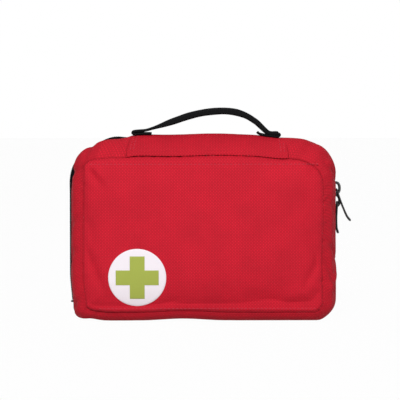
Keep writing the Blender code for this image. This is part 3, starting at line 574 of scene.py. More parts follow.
def groove_depth(x, z):
    """How far the front seam is pulled in, in mm: deep low down and high up on the right."""
    right = smooth_step(70 * MM, 96 * MM, x)
    left = smooth_step(-70 * MM, -96 * MM, x)
    at_right = 1.0 * hump(z, 38 * MM, 24 * MM) + 0.9 * hump(z, 118 * MM, 14 * MM) - 0.7
    at_left = 0.5 * hump(z, 105 * MM, 28 * MM) + 0.5 * hump(z, 10 * MM, 14 * MM)
    return 1.0 + right * at_right + left * at_left


def front_wall():
    """The front gusset's grid, with its folds."""
    y, rows = wall_depths(HINGE_Y - ZIP_SHOWS, SEAM_FRONT + 0.3 * MM, HINGE_Y - HINGE_GAP)
    points = loop(y)
    x, z = points[..., 0], points[..., 2]
    to_seam = (y - SEAM_FRONT) / MM
    from_edge = np.abs(y - y[:, :1]) / MM
    along = AROUND[:-1, None]
    bottom = 1 - smooth_step(2 * MM, 12 * MM, z)
    push = 1.2 * np.sin(np.pi * rows) * (1 - 0.85 * bottom)
    push = push + 1.1 * np.exp(-((to_seam - 8) / 4) ** 2) * (1 - bottom) * (z < 128 * MM)
    push = push - groove_depth(x, z) * np.exp(-(to_seam / 2.6) ** 2)
    push -= 0.5 * np.exp(-(to_seam / 7) ** 2)
    gather = 0.5 * puckers(along, 3) * np.exp(-(to_seam / 6.5) ** 2)
    gather += 0.22 * puckers(along, 8, 9 * MM) * np.exp(-(from_edge / 4) ** 2)
    push = push + gather * (1 - 0.7 * bottom)
    push += 0.35 * np.sin(along / (23 * MM) + 2 * rows) * np.sin(along / (61 * MM)) * (1 - bottom)
    beside_zip = 0.5 + 0.5 * np.exp(-(from_edge / 9) ** 2)
    push -= 4.0 * (1 - rows) ** 0.4 * zip_in_sight(x, z) * beside_zip
    push -= 2.1 * smooth_step(-95 * MM, -106 * MM, x) * np.exp(-(from_edge / 16) ** 4)
    push = push * MM
    right = x > 80 * MM
    left = x < -80 * MM
    folds = ((right, (-39, 128), (-17, 112), 2.6, -1.5), (right, (-40, 100), (-22, 86), 3.0, -0.9),
             (right, (-40, 66), (-15, 47), 2.6, -1.3), (right, (-38, 24), (-20, 40), 3.4, 1.0),
             (right, (-41, 54), (-26, 20), 2.4, -1.1), (left, (-40, 122), (-16, 118), 2.4, -1.2),
             (left, (-40, 86), (-22, 72), 3.0, -1.0), (left, (-39, 62), (-16, 44), 2.8, -1.1),
             (left, (-40, 20), (-22, 8), 2.4, -1.3))
    for side, start, end, width, depth in folds:
        push = push + side * crease(y, z, start, end, width, depth)
    over = z > 120 * MM
    for start, end, depth in (((80, -40), (92, -20), -1.3), ((-96, -40), (-84, -18), -1.2),
                              ((96, -38), (104, -22), -0.9)):
        push = push + over * crease(x, y, start, end, 2.6, depth)
    return pushed_out(points, push), y


def outward_normals(points):
    """Unit normals of a side wall that look away from the pouch."""
    normals = grid_normals(points, (True, False))
    return normals * np.sign((normals * OUTWARD[:, None]).sum(-1, keepdims=True))


def pushed_out(points, push):
    """A side wall's points moved out by push, with its zip edge folded in."""
    points = points + outward_normals(points) * push[..., None]
    points[:, 0] -= OUTWARD * FOLD_IN
    points[..., 2] = np.maximum(points[..., 2], OFF_FLOOR)
    return points


def inside_wall(wall, depth, inset):
    """A loop of a gusset's own points at one depth, moved inwards by inset."""
    found = np.empty((COUNT, 3))
    for k, column in enumerate(wall):
        order = np.argsort(column[:, 1])
        for axis in range(3):
            found[k, axis] = np.interp(depth, column[order, 1], column[order, axis])
    found[:, 1] = depth
    return found - OUTWARD * inset


def wall_uv(y):
    """Metres round the pouch and metres across the strip."""
    across = np.concatenate([y, y[:1]])
    return np.stack([np.broadcast_to(AROUND[:, None], across.shape), across], axis=-1)


wall, wall_y = front_wall()
gusset = grid_mesh("side_wall_front", wall, wall_uv(wall_y), (True, False))
gusset = finish_piece("side_wall_front", gusset, [oxford_red, coated_reverse])
thicken(gusset, FABRIC, inner_slot=1)
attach(gusset, "front_half")
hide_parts("front_gusset")
print("front side wall:", len(gusset.data.polygons), "faces")


# %% The back gusset
def back_wall():
    """The back gusset's grid: shallower, with a softer groove at its panel."""
    y, rows = wall_depths(HINGE_Y + ZIP_SHOWS, SEAM_BACK + 0.6 * MM, HINGE_Y + HINGE_GAP)
    points = loop(y)
    x, z = points[..., 0], points[..., 2]
    to_seam = (SEAM_BACK - y) / MM
    from_edge = np.abs(y - y[:, :1]) / MM
    along = AROUND[:-1, None]
    bottom = 1 - smooth_step(2 * MM, 12 * MM, z)
    push = 0.7 * np.sin(np.pi * rows) * (1 - bottom) - 1.1 * np.exp(-(to_seam / 2.4) ** 2)
    push += puckers(along, 12) * np.exp(-(to_seam / 5) ** 2) * 0.25 * (1 - 0.7 * bottom)
    push += puckers(along, 17, 9 * MM) * np.exp(-(from_edge / 4) ** 2) * 0.2 * (1 - bottom)
    push -= 4.4 * zip_in_sight(x, z) * (1 - rows) ** 0.3
    push -= 1.2 * smooth_step(-95 * MM, -106 * MM, x) * np.exp(-(from_edge / 9) ** 2)
    push = push * MM
    for start, end, depth in (((26, 118), (9, 104), -1.0), ((26, 70), (10, 52), -1.1),
                              ((25, 30), (10, 22), -1.0)):
        push = push + (np.abs(x) > 80 * MM) * crease(y, z, start, end, 2.6, depth)
    return pushed_out(points, push), y


back_wall_points, back_wall_y = back_wall()
back_gusset = grid_mesh("side_wall_back", back_wall_points, wall_uv(back_wall_y), (True, False))
back_gusset = finish_piece("side_wall_back", back_gusset, [oxford_red, coated_reverse])
thicken(back_gusset, FABRIC, inner_slot=1)
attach(back_gusset, "back_half")
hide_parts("back_gusset")
print("back side wall:", len(back_gusset.data.polygons), "faces")


# %% [markdown]
# ## Panels
# The front panel is stuffed softly, so it rises in a quarter circle at its rim, goes on
# rising slowly and is nearly flat in the middle. It is drawn as rings that shrink from the
# rim to one point, close together near the rim where stitches pull it down. Its height is
# one formula of x and z, which the badge on it follows too.

# %% Distance from the rim, and the front panel's face
PANEL_Z = (panel_low[2] + panel_high[2]) / 2
BELOW_TOP, ABOVE_LOW = 7 * MM, 4.2 * MM         # rows of stitches, from the panel's box
front_rim = inside_wall(wall, SEAM_FRONT, 0.3 * MM)


def from_rim(x, z, radii):
    """Distance inside the panel's outline: how deep a point lies in a rounded rectangle."""
    x, z = before_slump(x, z)
    half_x, half_z = panel_high[0], (panel_high[2] - panel_low[2]) / 2
    radius = np.where(z > PANEL_Z, np.where(x > 0, radii[1], radii[2]),
                      np.where(x > 0, radii[0], radii[3])) * MM
    px, pz = np.abs(x) - (half_x - radius), np.abs(z - PANEL_Z) - (half_z - radius)
    outside = np.hypot(np.maximum(px, 0), np.maximum(pz, 0))
    return radius - outside - np.minimum(np.maximum(px, pz), 0)


def quarter_round(inside, radius):
    """Height of a quarter circle that rises from the rim to its radius."""
    return np.sqrt(np.maximum(radius ** 2 - (radius - np.minimum(inside, radius)) ** 2, 0))


def panel_face(x, z):
    """Depth y of the front panel's outer face."""
    inside = np.maximum(from_rim(x, z, SEAM_RADII), 0)
    lift = quarter_round(inside, 3.4 * MM)
    fullness = 1 - np.exp(-inside / (13 * MM))
    under = np.clip(1 - (z - panel_low[2]) / (36 * MM), 0, 0.97)
    low_down = (1 - np.sqrt(1 - under ** 2)) * (0.6 + 0.4 * smooth_step(-70 * MM, 10 * MM, x))
    to_side = np.exp(-np.maximum(panel_high[0] - np.abs(x), 0) / (12 * MM))
    to_top = np.exp(-np.maximum(panel_high[2] - z, 0) / (9 * MM))
    shaped = 5.6 * fullness - 11 * low_down - 1.8 * to_side - 1.0 * to_top
    lift += shaped * MM * smooth_step(0, 6 * MM, inside)
    lift += 1.2 * MM * hump(x, 12 * MM, 70 * MM) * hump(z, 52 * MM, 36 * MM) * fullness
    lift -= 0.5 * MM * (hump(z, panel_high[2] - BELOW_TOP, 1.5 * MM)
                        * smooth_step(3 * MM, 8 * MM, inside + 1.5 * MM))
    lift -= 0.35 * MM * hump(z, panel_low[2] + ABOVE_LOW, 1.2 * MM)
    around = np.arctan2(z - PANEL_Z, x) * 70 * MM
    lift += puckers(around, 21) * 0.5 * MM * np.exp(-(inside / (6 * MM)) ** 2)
    lift += puckers(x, 31, 10 * MM) * 0.16 * MM * hump(z, panel_high[2] - BELOW_TOP, 7 * MM)
    lift += 0.5 * MM * np.sin(x / (19 * MM) + 1.2) * np.sin(z / (27 * MM) + 0.4) * fullness
    folds = (((-97, 66), (-78, 20), 4.0, -1.4), ((-92, 14), (-78, 34), 5.0, 0.5),
             ((86, 120), (97, 137), 2.6, -2.0), ((60, 12), (94, 34), 6.0, 1.0),
             ((30, 24), (84, 10), 6.0, -0.8), ((-30, 122), (30, 116), 5.0, -0.3),
             ((-97, 96), (-86, 60), 3.5, -0.6), ((70, 118), (95, 96), 6.0, 0.6),
             ((-97, 130), (-80, 108), 3.2, -1.3), ((82, 76), (97, 40), 4.0, -1.1),
             ((78, 22), (98, 60), 3.4, -1.1), ((-40, 9), (-18, 20), 4.0, -0.6))
    for start, end, width, depth in folds:
        lift = lift + crease(x, z, start, end, width, depth)
    lift = np.maximum(lift, np.minimum(inside, 2.6 * MM))          # the lining is behind it
    return SEAM_FRONT + 0.6 * MM - lift


def rings_to_centre(rim, centre, shares):
    """x and z of rings that shrink from a rim to a centre: centre + share (rim - centre)."""
    flat = rim[:, None, [0, 2]] - np.array(centre)
    return np.array(centre) + flat * np.asarray(shares)[None, :, None]


flat_panel = rings_to_centre(front_rim, (0.0, PANEL_Z), 1 - np.linspace(0, 1, 84) ** 1.35)
panel_x, panel_z = flat_panel[..., 0], flat_panel[..., 1]
from_seam = np.linalg.norm(flat_panel - flat_panel[:, :1], axis=-1)
rise = np.sqrt(1 - (1 - np.minimum(from_seam / (4.2 * MM), 1)) ** 2)     # a quarter circle
panel_root = SEAM_FRONT + 0.9 * MM
panel_y = panel_root + (panel_face(panel_x, panel_z) - panel_root) * rise
panel_points = np.stack([panel_x, panel_y, panel_z], axis=-1)
panel_uv = np.concatenate([flat_panel, flat_panel[:1]])
panel = grid_mesh("panel_front", panel_points, panel_uv, (True, False))
panel = finish_piece("panel_front", panel, [oxford_panel, coated_reverse])
thicken(panel, FABRIC, inner_slot=1)
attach(panel, "front_half")
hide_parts("front_panel")
print("front panel:", len(panel.data.polygons), "faces, front at", round(panel_y.min() / MM, 1))


# %% The back panel
BACK_RADII = (14, 20, 20, 12)         # corners in mm, from the lower right
FRONT_TO_BACK = 97.5 / 102            # the front panel's width as a share of the back panel's


def back_face(x, z):
    """Depth y of the back panel: nearly flat, rounded only at its rim."""
    inside = np.maximum(from_rim(x * FRONT_TO_BACK, z, BACK_RADII), 0)
    lift = quarter_round(inside, 2.2 * MM)
    lift += 0.5 * MM * (1 - np.exp(-inside / (14 * MM)))
    around = np.arctan2(z - PANEL_Z, x) * 75 * MM
    lift += puckers(around, 41) * 0.2 * MM * np.exp(-(inside / (6 * MM)) ** 2)
    lift += 0.22 * MM * np.sin(x / (23 * MM)) * np.sin(z / (31 * MM) + 1)
    return SEAM_BACK + 0.4 * MM + lift


back_rim = inside_wall(back_wall_points, SEAM_BACK, 0.3 * MM)
flat_back = rings_to_centre(back_rim, (0.0, PANEL_Z), 1 - np.linspace(0, 1, 50) ** 1.4)
back_points = np.stack([flat_back[..., 0], back_face(flat_back[..., 0], flat_back[..., 1]),
                        flat_back[..., 1]], axis=-1)
back_uv = np.concatenate([flat_back, flat_back[:1]])
back_panel = grid_mesh("panel_back", back_points, back_uv, (True, False))
back_panel = finish_piece("panel_back", back_panel, [oxford_panel, coated_reverse])
thicken(back_panel, FABRIC, inner_slot=1)
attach(back_panel, "back_half")
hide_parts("back_panel")
print("back panel:", len(back_panel.data.polygons), "faces")


# %% [markdown]
# ## Badge
# A white disc with a green cross, the plain first aid sign, is a thin woven patch on the
# panel. Both pieces are rings that shrink to a centre, like the panel, and stand a hair
# above the panel's own formula. The cross's twelve corners come from one quarter, turned.

# %% Patch cloth and the two pieces
patch_white = woven("woven_patch_white", "E6DFE6", "F6F0F6", 0.8 * MM, 0.04 * MM, rough=0.65)
patch_green = woven("woven_patch_green", "98A442", "A9B453", 0.8 * MM, 0.04 * MM, rough=0.65)
disc_low, disc_high = span("badge_disc")
cross_low, cross_high = span("badge_cross")
BADGE = ((disc_low + disc_high) / 2)[[0, 2]]


def laid_on_panel(name, rim, lift, thickness, material, node, shares):
    """A thin patch: rings to a centre, lifted off the panel, its rim rounded down."""
    flat = BADGE + (rim[:, None] - BADGE) * shares[None, :, None]
    x, z = flat[..., 0], flat[..., 1]
    points = np.stack([x, panel_face(x, z) - lift - thickness, z], axis=-1)
    points[:, 0, 1] += thickness
    made = grid_mesh(name, points, np.concatenate([flat, flat[:1]]), (True, False))
    made = finish_piece(name, made, [material])
    thicken(made, thickness)
    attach(made, "front_half")
    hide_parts(node)
    return made


turns = full_turn(96)
disc_radius = (disc_high[0] - disc_low[0]) / 2
disc_rim = BADGE + disc_radius * np.stack([np.cos(turns), np.sin(turns)], axis=1)
PATCH_SHARES = np.concatenate([[1.0], np.linspace(0.988, 0, 22)])
laid_on_panel("badge_disc_patch", disc_rim, 0.1 * MM, 0.35 * MM, patch_white,
              "badge_disc", PATCH_SHARES)
arm, reach = 11.9 / 2 * MM, (cross_high[0] - cross_low[0]) / 2
quarter = np.array([(reach, -arm), (reach, arm), (arm, arm)])
corners = np.concatenate([quarter @ np.array([[c, s], [-s, c]])
                          for c, s in ((1, 0), (0, 1), (-1, 0), (0, -1))])
ends = np.concatenate([corners, corners[:1]])
share = np.linspace(0, 1, 9)[:-1, None]
cross_rim = BADGE + np.concatenate([a + (b - a) * share for a, b in zip(ends, ends[1:])])
laid_on_panel("badge_cross_patch", cross_rim, 0.45 * MM, 0.3 * MM, patch_green,
              "badge_cross", PATCH_SHARES)
print("badge made at", (BADGE / MM).round(1))


# %% [markdown]
# ## Topstitching
# Rows of thread hold the folded edges flat. Each stitch is a short rod with rounded ends, a
# little sunk into the cloth, and one function repeats it along any line.

# %% Stitches on the panels and along the zip
STITCHED_ROW, BACK_RING = 3, 7          # rows of the side walls' and back panel's grids
STITCHES_END = 20 * MM                  # height at which the zip's stitches end


def panel_line(z, x_low, x_high):
    """A level line on the front panel, and the way out of it."""
    x = np.linspace(x_low, x_high, 240)
    line = np.stack([x, panel_face(x, z + 0 * x), z + 0 * x], axis=1)
    return line, np.tile((0.0, -1.0, 0.0), (len(x), 1))


for title, z, ends in (("top", panel_high[2] - BELOW_TOP, (-91 * MM, 93 * MM)),
                       ("bottom", panel_low[2] + ABOVE_LOW, (-84 * MM, 91 * MM))):
    sew("stitches_panel_" + title, *panel_line(z, *ends), "front_half", red_thread)
for half, points in (("front", wall), ("back", back_wall_points)):
    outwards = outward_normals(points)
    above = np.flatnonzero(ring[:, 2] > STITCHES_END)
    sew("stitches_zip_" + half, points[above, STITCHED_ROW], outwards[above, STITCHED_ROW],
        half + "_half", red_thread)
around_back = back_points[:, BACK_RING]
sew("stitches_back_panel", np.concatenate([around_back, around_back[:1]]),
    np.tile((0.0, 1.0, 0.0), (COUNT + 1, 1)), "back_half", red_thread)
print("topstitching done")


# %% [markdown]
# ## Zip
# A nylon coil zip has two woven tapes, each with a row of teeth that is really one wound
# thread. From outside each turn shows as a small rod with a thicker head, and closed rows
# take turns, half a pitch apart. The tape is a ribbon along the same path.

# %% Black cloths and nylon
black_tape = woven("zip_tape_polyester", "0B0B0D", "1A1A1D", 0.7 * MM, 0.06 * MM, sheen=0.0,
                   shine=0.02)
nylon, tree, shader = new_material("nylon_coil_black", roughness=0.38, specular_ior_level=0.03)
shine = add(tree, "MapRange", {}, {0: cloudiness(tree, 900), 3: 0.45, 4: 0.6})
tree.links.new(shine.outputs[0], shader.inputs["Roughness"])
tree.links.new(blend_colours(tree, cloudiness(tree, 300), "131315", "232326"),
               shader.inputs["Base Color"])


def zip_line(inset, lowest):
    """The zip's path from low on the right, over the top, to low on the left."""
    path = loop(HINGE_Y, inset)
    upper_left = zip_in_sight(path[:, 0], path[:, 2])
    at_left = smooth_step(-95 * MM, -106 * MM, path[:, 0])
    path = path + OUTWARD * (MM * (1.5 * upper_left + 0.9 * at_left * (1 - upper_left)))[:, None]
    held = np.flatnonzero((ring[:, 2] > lowest) & ((ANGLE > -1.2) & (ANGLE < np.pi + 1.2)))
    return path[held], OUTWARD[held], (upper_left + 0.6 * at_left)[held]


TAPE_GAP, TAPE_WIDTH, TAPE_THICK = 0.5 * MM, 12 * MM, 0.5 * MM
TAPE_INSET = 1.45 * MM            # the tape lies this deep under the pouch's outline
for half, side in (("front", -1), ("back", 1)):
    path, out, stands_out = zip_line(TAPE_INSET, 5 * MM)
    across = np.linspace(TAPE_GAP, TAPE_WIDTH, 14)
    ribbon = path[:, None] + np.array([0, side, 0]) * across[None, :, None]
    down = smooth_step(3.2 * MM, 8 * MM, across)
    tuck = down[None] * (1.2 + 5.6 * stands_out[:, None])
    ribbon = ribbon - out[:, None] * (tuck * MM)[..., None]
    uv = np.stack(np.broadcast_arrays(travelled(path)[:, None], across[None]), axis=-1)
    tape = grid_mesh("zip_tape_" + half, ribbon, uv)
    tape = finish_piece("zip_tape_" + half, tape, [black_tape])
    thicken(tape, TAPE_THICK)
    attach(tape, half + "_half")
    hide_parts(half + "_zip_tape")

# %% Teeth
PITCH, ROD, ROD_LENGTH = 1.5 * MM, 0.52 * MM, 3.6 * MM
ROW_TO_HINGE = 1.55 * MM          # from a row's middle to the line where the rows meet
path, out, _ = zip_line(1.2 * MM, ZIP_START)
template, faces = capsule(ROD_LENGTH, np.array([0.5, 1.0, 0.95, 0.95, 1.25, 0.7]) * ROD, 8)
template = template[:, [1, 0, 2]] * np.array([-1, 1, 1])      # the rods lie across the path
for half, side, shift in (("front", -1, 0.0), ("back", 1, 0.5)):
    at = np.arange(shift * PITCH, travelled(path)[-1] - PITCH / 2, PITCH)
    places, along, lifts = read_along(path, out, at)
    rod = template * np.array([1, -side, 1])          # mirrored, so that the heads meet
    facing = faces if side > 0 else [face[::-1] for face in faces]
    row = repeated("zip_teeth_" + half, rod, facing, places + np.array([0, side * ROW_TO_HINGE, 0]),
                   along, lifts, nylon)
    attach(row, half + "_half")
    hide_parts(half + "_zip_coil")
print("teeth in each row:", len(at))


# %% [markdown]
# ## Sliders and pulls
# Two die-cast zinc sliders in black enamel close the zip head to head. Each has an outer
# and an inner plate with flanges along its sides, and a bridge of bent wire that holds a
# moulded pull. A plate's outline is a superellipse, the curve |y|^3.4 + |z|^3.4 = 1.

# %% Enamel and soft plastic
enamel, tree, shader = new_material("black_enamelled_zinc", roughness=0.3, metallic=0.0,
                                    coat_weight=0.4, coat_roughness=0.2)
tint = blend_colours(tree, cloudiness(tree, 500), "101012", "1C1C1F")
tree.links.new(tint, shader.inputs["Base Color"])
roughen(tree, shader, cloudiness(tree, 1400), 0.02 * MM)
soft_plastic, tree, shader = new_material("moulded_plastic_black", roughness=0.55)
tint = blend_colours(tree, cloudiness(tree, 700), "0C0C0E", "18181A")
tree.links.new(tint, shader.inputs["Base Color"])
roughen(tree, shader, cloudiness(tree, 2600), 0.03 * MM)


def wire(name, line, radius_across, radius_along, material, sides=10):
    """A rod swept along a line in the plane y = constant, oval in section, ends rounded."""
    side = np.array((0.0, 1.0, 0.0))
    lift = np.cross(unit(np.gradient(line, axis=0)), side)
    turns = full_turn(sides)
    taper = np.sqrt(np.clip(1 - np.abs(np.linspace(-1, 1, len(line))) ** 14, 0.05, 1))[:, None, None]
    points = (line[:, None] + np.cos(turns)[:, None] * side * radius_across * taper
              + np.sin(turns)[:, None] * lift[:, None] * radius_along * taper)
    points = drawn_together(points, line[0], line[-1])
    mesh = grid_mesh(name, points, None, (False, True), away_from=line.mean(axis=0))
    mesh.validate()
    piece = finish_piece(name, mesh, [material])
    fix_normals(piece)
    return piece


def join(name, pieces):
    """Several pieces become one piece with the first one's materials."""
    with bpy.context.temp_override(active_object=pieces[0], object=pieces[0],
                                   selected_objects=pieces, selected_editable_objects=pieces):
        bpy.ops.object.join()
    pieces[0].name = pieces[0].data.name = name
    return pieces[0]


def plate(name, centre, half_y, half_z, thick, bulge, material):
    """A rounded plate across x: superellipse rings that step in over its edge, and a
    bulge on its outer face."""
    edge_y, edge_z = squared_circle(full_turn(48), 2 / 3.4, 2 / 3.4)
    shares = np.array([0, 0.93, 1, 1, 0.93, 0.72, 0.45, 0])
    heights = np.array([0, 0, 0.15, 0.7, 1.0, 1.0, 1.0, 1.0]) * thick
    heights = heights + bulge * np.array([0, 0, 0, 0, 0.1, 0.6, 0.9, 1.0])
    x = centre[0] + np.broadcast_to(heights, (48, 8))
    points = np.stack([x, centre[1] + edge_y[:, None] * shares * half_y,
                       centre[2] + edge_z[:, None] * shares * half_z], axis=-1)
    return closed_piece(name, points, (True, False), material)


SLIDER_FACE = 107.9 * MM          # where the outer plate starts, over the teeth
PLATE = 0.8 * MM
BRIDGE = ((0, -4.6), (1.3, -4.6), (3.1, -4.0), (4.2, -2.2), (4.5, 0), (4.2, 2.2), (3.1, 4.0),
          (1.3, 4.6), (0, 4.6))           # mm out from the outer plate, and along the zip
for title in ("upper", "lower"):
    low, high = span(title + "_slider")
    middle = (low + high) / 2
    half_y, half_z = (high - low)[1:] / 2 - 0.1 * MM
    outer = plate("outer", (SLIDER_FACE, *middle[1:]), half_y, half_z, PLATE, 0.25 * MM, enamel)
    inner = plate("inner", (low[0], *middle[1:]), half_y, half_z, PLATE, 0.0, enamel)
    meet = 1 if title == "lower" else -1
    post_z = middle[2] + meet * (half_z - 1.6 * MM)
    post = wire("post", np.stack([np.linspace(low[0] + PLATE / 2, SLIDER_FACE + 0.3 * MM, 8),
                                  np.full(8, middle[1]), np.full(8, post_z)], axis=1),
                0.45 * MM, 1.0 * MM, enamel)
    parts = [outer, inner, post]
    for side in (-1, 1):
        z = np.linspace(-1, 1, 16)
        flange_y = middle[1] + side * (half_y - 0.35 * MM)
        flange = np.stack([SLIDER_FACE - 0.25 * MM + 0 * z, flange_y + 0 * z,
                           middle[2] + z * half_z * 0.66], axis=1)
        parts.append(wire("flange", flange, 0.5 * MM, 0.55 * MM, enamel))
    bridge = spline([(SLIDER_FACE + x * MM, middle[1], middle[2] + z * MM) for x, z in BRIDGE], 34)
    parts.append(wire("bridge", bridge, 1.25 * MM, 1.15 * MM, enamel, 12))
    made = join(title + "_slider_body", parts)
    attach(made, title + "_slider")
    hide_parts(title + "_slider")
for title in ("left", "right"):
    low, high = span("zip_stop_" + title)
    middle = (low + high) / 2
    line = np.stack([np.full(14, middle[0]), np.linspace(low[1], high[1], 14),
                     np.full(14, middle[2])], axis=1)
    turns = full_turn(10)
    oval = np.stack([np.cos(turns) * 1.15 * MM, 0 * turns, np.sin(turns) * 0.8 * MM], axis=1)
    rod = drawn_together(line[:, None] + oval, line[0], line[-1])
    stop = closed_piece("zip_end_" + title, rod, (False, True), enamel)
    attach(stop, "back_half")
    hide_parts("zip_stop_" + title)
print("sliders and stops made")

# %% Pulls
HALF_TAB = 3.7 * MM
WINDOW = np.array((6.0, 3.1, 5.85)) * MM          # the hole for the bridge, and its middle
WINDOW_Z = -3.475 * MM


def window_cutter():
    """A rounded box as long, wide and high as the hole in a pull."""
    hole = bmesh.new()
    bmesh.ops.create_cube(hole, size=1.0)
    for corner in hole.verts:
        corner.co = [c * size for c, size in zip(corner.co, WINDOW)]
        corner.co.z += WINDOW_Z
    bmesh.ops.bevel(hole, geom=hole.edges, offset=0.7 * MM, segments=3, affect="EDGES")
    mesh = bpy.data.meshes.new("window")
    hole.to_mesh(mesh)
    hole.free()
    return finish_piece("window", mesh, [], smooth=False)


def pull_tab(title, pivot, length, lean):
    """A tab in the plane of its own length: a loop round the bridge, then a flat tongue
    that thickens to a round foot. It is drawn hanging and then leaned out."""
    down = np.concatenate([np.linspace(-0.02, 0.26, 14), np.linspace(0.29, 1, 26)])
    wide = HALF_TAB * (1 - 0.10 * smooth_step(0.3, 0, down) - 0.14 * smooth_step(0.88, 1.0, down) ** 2)
    thick = MM * (0.88 + 0.12 * hump(down, 0.93, 0.08) - 0.12 * hump(down, 0.55, 0.25))
    bend = MM * (0.9 * smooth_step(0.8, 1.0, down) - 0.5 * np.sin(np.pi * down))
    oval_y, oval_x = squared_circle(full_turn(20), 0.45, 0.8)
    ends = np.ones(len(down))
    ends[[0, -1]] = 0.35
    x = bend[:, None] + oval_x * (thick * ends)[:, None]
    y = oval_y * (wide * ends ** 0.3)[:, None]
    z = -down[:, None] * length + 0 * x
    skin = np.stack([x, y, z], axis=-1)
    skin = drawn_together(skin, skin[0].mean(axis=0), skin[-1].mean(axis=0))
    tab = closed_piece(title + "_pull_tab", skin, (False, True), soft_plastic)
    cutter = window_cutter()
    cut = tab.modifiers.new("window", "BOOLEAN")
    cut.operation, cut.solver, cut.object = "DIFFERENCE", "EXACT", cutter
    apply_modifiers(tab)
    bpy.data.objects.remove(cutter)
    shape = tab.data
    points = np.empty(len(shape.vertices) * 3, np.float32)
    shape.vertices.foreach_get("co", points)
    points = points.reshape(-1, 3)
    c, s = math.cos(lean), math.sin(lean)
    leaned = points @ np.array([[c, 0, s], [0, 1, 0], [-s, 0, c]]) + np.array(pivot) * MM
    shape.vertices.foreach_set("co", leaned.astype(np.float32).ravel())
    shape.set_sharp_from_angle(angle=math.radians(45))
    shape.update()
    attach(tab, title + "_pull")
    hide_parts(title + "_pull")


pull_tab("upper", (109.76, -4.15, 105.2), 28.6 * MM, math.radians(22))
pull_tab("lower", (110.5, -4.15, 94.9), 26.0 * MM, math.radians(-0.5))
print("pulls made")


# %% [markdown]
# ## Handle and its patch
# The handle is one length of webbing: it starts under its left end, folds back over itself,
# rises, comes down and folds under again on the right. It is an oval profile carried along a
# curve through listed points. The grip is folded double, so it is thicker there.
# A doubled piece of red cloth under it covers the top seam and the zip's crest.

# %% The red patch
patch_low, patch_high = span("handle_patch")


def handle_patch():
    """A grid of x and depth that lies a millimetre over the front wall's top."""
    share = np.linspace(0, 1, 90)
    depth = np.linspace(SEAM_FRONT - 0.2 * MM, HINGE_Y - 6.6 * MM, 46)
    slant = smooth_step(HINGE_Y - 22 * MM, SEAM_FRONT, depth)
    left, right = patch_low[0] + (1 - 4 * slant) * MM, patch_high[0] - (1.5 - 2 * slant) * MM
    x = left[None] + (right - left)[None] * share[:, None]
    top = loop(depth)                         # heights of the outline over x = 0
    crest = top[(ARC_STEPS + SIDE_STEPS + ARC_STEPS + 8):(ARC_STEPS * 2 + SIDE_STEPS + LONG_STEPS)]
    z = np.empty_like(x)
    for k in range(len(depth)):
        order = np.argsort(crest[:, k, 0])
        z[:, k] = np.interp(x[:, k], crest[order, k, 0], crest[order, k, 2])
    rows = np.linspace(0, 1, len(depth))
    inside = np.minimum(share, 1 - share)[:, None] * (right - left)[None]
    lift = 1.25 + 0.35 * np.sin(np.pi * rows)[None] * smooth_step(0, 12 * MM, inside)
    lift = lift - 0.5 * np.exp(-(inside / (1.2 * MM)) ** 2)
    lift = lift - 0.4 * np.exp(-((inside - 3.4 * MM) / (0.9 * MM)) ** 2)
    lift = lift + puckers(x, 51, 12 * MM) * 0.22 * (1 - rows)[None] ** 2
    lift = lift + 0.25 * np.sin(x / (17 * MM) + 3 * rows) * np.sin(np.pi * rows)
    lift = lift - 1.1 * np.exp(-((depth - SEAM_FRONT) / (1.6 * MM)) ** 2)[None]
    normal_z = smooth_step(SEAM_FRONT - 6 * MM, SEAM_FRONT + 16 * MM, depth)[None]
    y = depth[None] - lift * MM * (1 - normal_z)
    z = z + lift * MM * (0.55 + 0.45 * normal_z)
    z = z - 0.8 * MM * smooth_step(HINGE_Y - 9.5 * MM, HINGE_Y - 6.6 * MM, depth)[None]
    return np.stack([x, y, z], axis=-1)


patch = handle_patch()
uv = np.stack([patch[..., 0], np.broadcast_to(travelled(patch[45])[None], patch.shape[:2])], axis=-1)
patch_piece = grid_mesh("patch_under_handle", patch, uv)
patch_piece = finish_piece("patch_under_handle", patch_piece, [oxford_red, coated_reverse])
thicken(patch_piece, 0.9 * MM)
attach(patch_piece, "front_half")
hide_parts("handle_patch")
outwards = grid_normals(patch)
outwards *= np.sign(outwards[..., 2:3])
for title, row in (("left_outer", 2), ("left_inner", 4), ("right_outer", -3), ("right_inner", -5)):
    sew("stitches_patch_" + title, patch[row, 4:], outwards[row, 4:], "front_half", red_thread)
print("patch made, top at", round(patch[..., 2].max() / MM, 1))

# %% Webbing
webbing, tree, shader = new_material("woven_polyester_webbing", roughness=0.65,
                                     specular_ior_level=0.08)
weave = plain_weave(tree, 1.6 * MM)
# painted shade between the threads of the webbing's weave, painted light on the threads
tint = blend_colours(tree, weave, "020203", "0B0B0D")
tree.links.new(tint, shader.inputs["Base Color"])
roughen(tree, shader, weave, 0.2 * MM)

end_low, _ = span("handle_end_left")
strap_low, strap_high = span("handle_strap")
SEAT = end_low[2]
HANDLE_Y, HALF_WEB = (strap_low[1] + strap_high[1]) / 2, (strap_high[1] - strap_low[1]) / 2
ROUTE = ((-41.2, 1.1), (-48, 1.0), (-54.2, 1.0), (-56.0, 1.2), (-56.6, 2.1), (-55.6, 3.0), (-51, 3.2),
         (-46, 3.6), (-39, 5.6), (-31, 8.0), (-22, 11.0), (-12, 14.4), (-2, 16.9), (8, 18.3), (18, 18.7),
         (27, 17.6), (35, 14.9), (42, 10.7), (48, 6.1), (52.2, 3.5), (55.6, 2.9), (59.6, 3.3), (61.6, 2.9),
         (61.9, 1.8), (60.4, 1.0), (54, 0.9), (48, 1.0), (45.4, 1.6), (44.2, 2.6))      # mm over the seat


